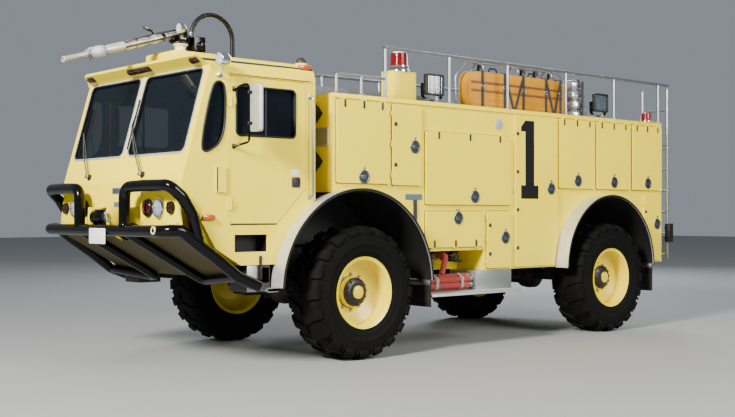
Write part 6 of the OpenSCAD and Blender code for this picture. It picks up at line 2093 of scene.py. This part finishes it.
for z in (MIRROR_Z[0] + 0.08, MIRROR_Z[1] - 0.08):
    clamps.append(turned([(0.0122, -0.016), (0.0175, -0.016), (0.0175, 0.016), (0.0122, 0.016)],
        (*MIRROR_TUBE, z), steps=20))
    clamps.append(slab((MIRROR_X[1] - 0.002, MIRROR_TUBE[1] - 0.012, z - 0.016),
        (MIRROR_X[1] + 0.003, MIRROR_TUBE[1] + 0.05, z + 0.016)))
    clamps.append(
        turned([(0.007, 0), (0.007, 0.005), (0, 0.005)], (MIRROR_X[1] + 0.002, MIRROR_TUBE[1] + 0.036, z),
            ALONG, 6))
for side, way in SIDES.items():
    door = "cab_door_" + side
    make(f"mirror_arm_{side}", tube_black, on_side(way, mirror_arm), body=door, bevel=0.0015,
         stands_for=[f"mirror_{side}"])
    make(f"mirror_shell_{side}", band_aluminium, on_side(way, shell), body=door, bevel=0.003)
    make(f"mirror_glass_{side}", mirror_glass, on_side(way, silver), body=door)
    make(f"mirror_clamps_{side}", seal_rubber, on_side(way, clamps), body=door, bevel=0.0015)

# %% Door trim
CAB_DOOR = [(0.67, 1.79), (1.03, 1.44), (1.59, 1.44), (1.59, 2.87), (0.7, 2.87), (0.67, 2.84)]
door_gap = [frame_plate(inset(CAB_DOOR, -0.002), inset(CAB_DOOR, 0.0015), 1.184, 1.212)]
label = [plate(round_outline(0.75, 1.925, 0.85, 1.985, 0.004), 1.2197, 1.2212)]
latch_plate = [plate(round_outline(0.735, 1.8, 0.845, 1.905, 0.008), 1.2195, 1.2235)]
latch_screws = [turned([(0.005, 0), (0.005, 0.0015), (0, 0.002)], (x, 1.2234, z), ACROSS, 12)
    for x in (0.747, 0.833) for z in (1.812, 1.893)]
# Painted shade: a thin dark strip on the front edge of each handle box stands for its shaded edge.
handle_shade_strip = [slab((1.744, 1.2378, 1.744), (1.759, 1.239, 1.986))]
for side, way in SIDES.items():
    door = "cab_door_" + side
    make(f"cab_door_seal_{side}", seal_rubber, on_side(way, door_gap), body=door)
    make(f"latch_plate_{side}", dark_steel, on_side(way, latch_plate), body=door, bevel=0.001)
    make(f"latch_screws_{side}", zinc, on_side(way, latch_screws), body=door, slot="lamp_chrome")
    make(f"door_label_{side}", plate_white, on_side(way, label), body=door)
# Painted shadow: a thin black strip under the roof gutter and one along the foot of the door stand for the
# shadow lines there.
make("cab_painted_shadow_lines", seal_rubber,
    both(slab((0.602, 1.2195, 2.8835), (1.6, 1.2215, 2.8955)),
        slab((1.035, 1.2195, 1.424), (1.59, 1.2212, 1.437))))
make("handle_box_painted_shade_strips", dash_plastic, both(*handle_shade_strip))

# %% [markdown]
# Cab inside
# A grey dash wraps round the front with gauges, switches and a hood over them, and a black
# wheel stands on its column. Two seats on boxed pedestals have crowned vinyl cushions with
# rolled edges and a seam. The lining and the window reveals are painted dark grey, which is
# painted shade for the inside of the cab, so the windows look deep as real ones do, and the
# wheel wells are sprayed black.

# %% Cab interior
SEAT_Y = 0.62


def cushion(low, high, crown, lean=0.0, pivot=(0, 0, 0)):
    """A stuffed cushion: round edges, a raised middle and a stitched seam below its crown."""
    (x0, y0, z0), (x1, y1, z1) = low, high
    span, rows = 40, 13
    verts, faces = [], []
    for r in range(rows + 1):
        v = r / rows
        if v < 0.5:
            z, grow = z0 + (z1 - z0) * (0.04 + 1.3 * v), 0.965 + 0.035 * math.sin(math.pi * v)
        else:
            turn = (v - 0.5) * math.pi
            z, grow = z0 + (z1 - z0) * 0.69 + (z1 - z0) * 0.31 * math.sin(turn), math.cos(
                turn) ** 0.45 if r < rows else 0.02
        if r in (6, 7):
            grow -= 0.008 * (7 - r)
        for i in range(span):
            t = 2 * math.pi * i / span
            a, b = math.cos(t), math.sin(t)
            reach = 1 / (abs(a) ** 6 + abs(b) ** 6) ** (1 / 6)
            rise = crown * max(0, 1 - grow) if r > 7 else 0
            verts.append(((x0 + x1) / 2 + a * reach * grow * (x1 - x0) / 2,
                (y0 + y1) / 2 + b * reach * grow * (y1 - y0) / 2, z + rise * 0.2))
    for r in range(rows):
        for i in range(span):
            j = (i + 1) % span
            faces.append((r * span + i, r * span + j, (r + 1) * span + j, (r + 1) * span + i))
    faces += [tuple(range(span)), tuple(range(rows * span, (rows + 1) * span))]
    if lean:
        turn = Matrix.Rotation(math.radians(lean), 4, "Y")
        verts = [tuple(turn @ (Vector(v) - Vector(pivot)) + Vector(pivot)) for v in verts]
    return verts, faces


seat_forms, frame_forms = [], []
for y in (SEAT_Y, -SEAT_Y):
    seat_forms.append(cushion((0.852, y - 0.238, 1.842), (1.308, y + 0.238, 1.958), 0.1))
    # the back is a cushion laid flat and then stood up, leaned back by 8 degrees
    back_verts, back_faces = cushion((-0.02, y - 0.228, -0.1), (0.738, y + 0.228, 0.018), 0.1)
    stand = Matrix.Translation((0.85, 0, 1.9)) @ Matrix.Rotation(math.radians(-98), 4, "Y")
    seat_forms.append(([tuple(stand @ Vector(v)) for v in back_verts], back_faces))
    frame_forms.append(slab((0.892, y - 0.178, 1.4703), (1.268, y + 0.178, 1.842)))
DASH = [(1.796, 1.4703), (1.796, 1.9), (1.742, 2.0), (1.762, 2.078), (1.96, 2.108), (2.026, 2.04),
    (2.078, 1.86), (2.08, 1.705)]
frame_forms.append(plate(DASH, -1.098, 1.098))
column = Vector((1.64, SEAT_Y, 2.17))
tilt = Matrix.Translation(column) @ Matrix.Rotation(math.radians(-57), 4, "Y")
wheel_forms = [
    closed_ring(
        [(0.21 + 0.0145 * math.cos(a), 0.0145 * math.sin(a))
            for a in [math.radians(36 * k) for k in range(10)]], (0, 0, 0), (0, 0, 1), 48),
    turned([(0.0, -0.03), (0.038, -0.028), (0.046, -0.006), (0.04, 0.01), (0, 0.014)], (0, 0, 0),
        steps=24)]
for a in (90, 210, 330):
    t = math.radians(a)
    wheel_forms.append(
        strap(
            [(0.03 * math.cos(t), 0.03 * math.sin(t), -0.012),
                (0.12 * math.cos(t), 0.12 * math.sin(t), -0.01),
                (0.205 * math.cos(t), 0.205 * math.sin(t), 0.0)], 0.03, 0.009,
            (-math.sin(t), math.cos(t), 0)))
wheel_forms = [([tuple(tilt @ Vector(v)) for v in verts], faces) for verts, faces in wheel_forms]
wheel_forms.append(pipe([(1.868, SEAT_Y, 2.021), (1.645, SEAT_Y, 2.167)], 0.0245, sides=16))
seats = make("seat_cushions", seat_vinyl, seat_forms, smooth_to=60, stands_for=["cab_interior"])
make("dash_and_pedestals", dash_plastic, frame_forms, slot="cab_trim", bevel=0.012)
make("steering_wheel", seal_rubber, wheel_forms)
gauges = [
    turned([(0.0, 0.0), (r, 0.0), (r + 0.004, 0.004), (r + 0.004, 0.009), (r - 0.002, 0.009),
        (r - 0.002, 0.005), (0, 0.005)], (1.7465, SEAT_Y + dy, 2.04), (-1, 0, 0.25), 24)
    for dy, r in ((-0.16, 0.034), (-0.07, 0.05), (0.07, 0.05), (0.16, 0.034))]
make("dash_gauges", chrome, gauges)
hood = bent([(1.775, SEAT_Y, 2.083), (1.8, SEAT_Y, 2.14), (1.93, SEAT_Y, 2.122)], 0.03)
make("gauge_hood", dash_plastic, [strap(hood, 0.46, 0.008, ACROSS)], slot="cab_trim", bevel=0.003)
make("switch_panel", dash_plastic,
    [slab((1.735, -0.02 + 0.052 * k, 2.02), (1.752, 0.01 + 0.052 * k, 2.05)) for k in range(6)],
    slot="cab_trim", bevel=0.002)

# Painted shade: the lining's dark grey stands for the shade inside the cab and in the window reveals.
lining = finish("cab_lining_painted_shade", "26282B", 0.85, bumps=(0.004, 0.0004), tones=("202225", "2E3033", 0.2))


def repaint(name, skin, inside):
    """Another finish for the faces of a solid whose middle lies inside a region."""
    mesh = NODES[name].data
    mesh.materials.append(skin)
    for face in mesh.polygons:
        if inside(face.center.x - AXLE_X, face.center.y, face.center.z):
            face.material_index = len(mesh.materials) - 1


CAB_SIDE, CAB_BACK, CAB_FLOOR, CAB_ROOF, REVEAL = 1.18, 0.545, 1.465, 3.031, 1.215
CAB_FRONT = [(1.47, 1.8), (1.7, 2.088), (1.85, 2.088), (3.03, 1.748)]
WELL_DEPTH = 1.185


def in_cab(x, y, z):
    """Behind the inner line of the cab's front wall, which is drawn in Z and X."""
    if CAB_SIDE < abs(y) < REVEAL and 1.62 < x < 1.96 and 2.09 < z < 2.84:
        return True
    if abs(y) > CAB_SIDE or not CAB_FLOOR < z < CAB_ROOF or x < CAB_BACK:
        return False
    for (z0, x0), (z1, x1) in zip(CAB_FRONT, CAB_FRONT[1:]):
        if z0 <= z <= z1:
            return x < x0 + (x1 - x0) * (z - z0) / (z1 - z0) + 0.02
    return x < CAB_FRONT[0][1] + 0.02


def in_door_skin(x, y, z):
    """A door's inner skin, and the edge of its window."""
    return abs(y) < CAB_SIDE or (abs(y) < REVEAL and 0.79 < x < 1.53 and 2.29 < z < 2.79)


def in_a_well(x, y, z):
    """Inside a wheel arch, short of the outer skin."""
    return abs(y) < WELL_DEPTH and any(math.hypot(x - cx, z - cz) < r + 0.005
        for cx, cz, r, low in ARCHES.values())


# The cab's inner faces get the lining's painted shade.
repaint("cab_shell", lining, in_cab)
for name in ("body_shell", "cab_shell"):
    repaint(name, chassis_black, in_a_well)


def on_arch_edge(x, y, z):
    """The outer edge of an arch band, which carries a rubber lip."""
    return abs(y) > LIP_Y - 0.003


repaint("arch_bands", seal_rubber, on_arch_edge)
for side in ("left", "right"):
    # The doors' inner skins and window edges get the same painted shade.
    repaint("cab_door_" + side, lining, in_door_skin)
print("cab trimmed")

# %% [markdown]
# Rear end
# The engine is at the rear, so its panel is pressed with rows of louvres, each a low hood
# over a slot. Each slot is a thin dark strip, painted shade for the opening under the hood.
# One Geometry Nodes tree lays a seed out in rows and columns. A cluster of
# round lamps stands at each corner, and a black lamp box is clamped to the ladder.

# %% Louvres
def grid_tree(skin):
    """Copies of a seed in rows and columns on a wall that faces along X."""
    tree, inputs = new_tree("grid_of_copies", seed_shape="Geometry", columns="Int", rows="Int",
        column_pitch="Float", row_pitch="Float")
    index = add_node(tree, "GeometryNodeInputIndex").outputs[0]
    columns = inputs["Columns"]
    across = maths(tree, "MULTIPLY", maths(tree, "MODULO", index, columns), inputs["Column pitch"])
    row = maths(tree, "FLOOR", maths(tree, "DIVIDE", index, columns))
    up = maths(tree, "MULTIPLY", row, inputs["Row pitch"])
    place = add_node(tree, "ShaderNodeCombineXYZ", {"Y": across, "Z": up}).outputs[0]
    count = maths(tree, "MULTIPLY", columns, inputs["Rows"])
    points = add_node(tree, "GeometryNodePoints", {"Count": count, "Position": place})
    return copies_on(tree, points.outputs[0], inputs["Seed shape"], skin)


COLUMNS, ROWS_UP = 4, 15
COLUMN_PITCH, ROW_PITCH = 0.27, 0.068
LOUVRE = (0.225, 0.034, 0.018)
LOUVRE_CORNER = (BODY_REAR - 0.008, -COLUMN_PITCH * (COLUMNS - 1) / 2, 1.33)


half_w, height, out = LOUVRE[0] / 2, LOUVRE[1], LOUVRE[2]
hood_line = [(0.0, height), (-out * 0.45, height * 0.8), (-out * 0.85, height * 0.45), (-out, 0.0),
    (-out + 0.002, -0.001), (-out * 0.8, height * 0.4), (-out * 0.4, height * 0.72),
    (0.0, height - 0.004)]
hood_form = plate(hood_line, -half_w, half_w)
cheeks = [
    plate([(0.0, 0.0), (0.0, height), (-out * 0.45, height * 0.8), (-out * 0.85, height * 0.45),
        (-out, 0.0)], y, y + 0.003) for y in (-half_w, half_w - 0.003)]
louvres = through(grid_tree(body_enamel), mesh_of(joined([hood_form] + cheeks)), columns=COLUMNS,
    rows=ROWS_UP, column_pitch=COLUMN_PITCH, row_pitch=ROW_PITCH)
gather("engine_louvres", "truck", body_enamel, [louvres],
       Matrix.Translation(Vector(LOUVRE_CORNER) + Vector((AXLE_X, 0, 0))))
make("engine_panel", body_enamel,
    [plate(round_outline(-0.59, 1.27, 0.59, 2.42, 0.03), BODY_REAR - 0.008, BODY_REAR + 0.002, axis="x")],
    bevel=0.002)
# Painted shade: a dark strip under each louvre hood stands for the shadowed slot.
make("louvre_slots_painted_shade", dash_plastic,
    [
        slab((BODY_REAR - 0.0095, LOUVRE_CORNER[1] + COLUMN_PITCH * c - half_w + 0.004,
            LOUVRE_CORNER[2] + ROW_PITCH * r + 0.001),
            (BODY_REAR - 0.0075, LOUVRE_CORNER[1] + COLUMN_PITCH * c + half_w - 0.004,
                LOUVRE_CORNER[2] + ROW_PITCH * r + 0.018)) for c in range(COLUMNS)
        for r in range(ROWS_UP)])
make("engine_panel_bolts", zinc,
    [
        turned([(0.011, 0.0), (0.011, 0.003), (0.007, 0.004), (0.007, 0.009), (0, 0.009)],
            (BODY_REAR - 0.008, y, z), (-1, 0, 0), 6) for y in (-0.568, 0.0, 0.568)
        for z in (1.292, 1.845, 2.398) if y or z != 1.845])

# %% Rear lamps
TAIL = ((1.44, red_lens), (1.32, amber_lens), (1.2, clear_lens))
TAIL_Y, TAIL_R = 1.09, 0.05
base = plate(round_outline(TAIL_Y - 0.066, 1.13, TAIL_Y + 0.066, 1.51, 0.03), BODY_REAR - 0.022,
    BODY_REAR - 0.0003, axis="x")
make("tail_lamp_plates", dash_plastic, both(base), bevel=0.004)
for z, skin in TAIL:
    lens_form = turned([(TAIL_R, -0.002), (TAIL_R, 0.01), (TAIL_R * 0.94, 0.02), (TAIL_R * 0.6, 0.027),
        (0, 0.029)], (BODY_REAR - 0.022, TAIL_Y, z), (-1, 0, 0), 32)
    make(f"tail_lens_{round(z * 1000)}", skin, both(lens_form))
make("tail_bezels", chrome,
    both(
        *[
            closed_ring([(TAIL_R + 0.0005, 0.0), (TAIL_R + 0.006, 0.0), (TAIL_R + 0.005, 0.01),
                (TAIL_R + 0.0005, 0.012)], (BODY_REAR - 0.022, TAIL_Y, z), (-1, 0, 0))
            for z, skin in TAIL]))
make("rear_reflectors", red_lens,
    both(plate(round_outline(0.7, 0.975, 0.82, 1.015, 0.006), BODY_REAR - 0.008, BODY_REAR - 0.0003,
        axis="x")), bevel=0.002)
LADDER_X, LADDER_OUT = -5.88, 1.17
make("ladder_lamp_box", seal_rubber,
    [slab((LADDER_X - 0.015, LADDER_OUT + 0.014, 1.14), (LADDER_X + 0.085, LADDER_OUT + 0.09, 1.4)),
        slab((LADDER_X - 0.019, LADDER_OUT - 0.03, 1.18), (LADDER_X + 0.03, LADDER_OUT + 0.02, 1.215)),
        slab((LADDER_X - 0.019, LADDER_OUT - 0.03, 1.325), (LADDER_X + 0.03, LADDER_OUT + 0.02, 1.36))],
    bevel=0.006)
print("rear end made")

# %% [markdown]
# Floor
# A plain pale floor catches the shadow.

# %% Floor
floor_mesh = bpy.data.meshes.new("floor")
FLOOR_REACH = 60
floor_mesh.from_pydata([(-FLOOR_REACH, -FLOOR_REACH, 0), (FLOOR_REACH, -FLOOR_REACH, 0),
    (FLOOR_REACH, FLOOR_REACH, 0), (-FLOOR_REACH, FLOOR_REACH, 0)], [], [(0, 1, 2, 3)])
floor = bpy.data.objects.new("floor", floor_mesh)
bpy.context.collection.objects.link(floor)
floor_skin = finish("pale_floor", "8F9192", 0.8)
floor.data.materials.append(floor_skin)
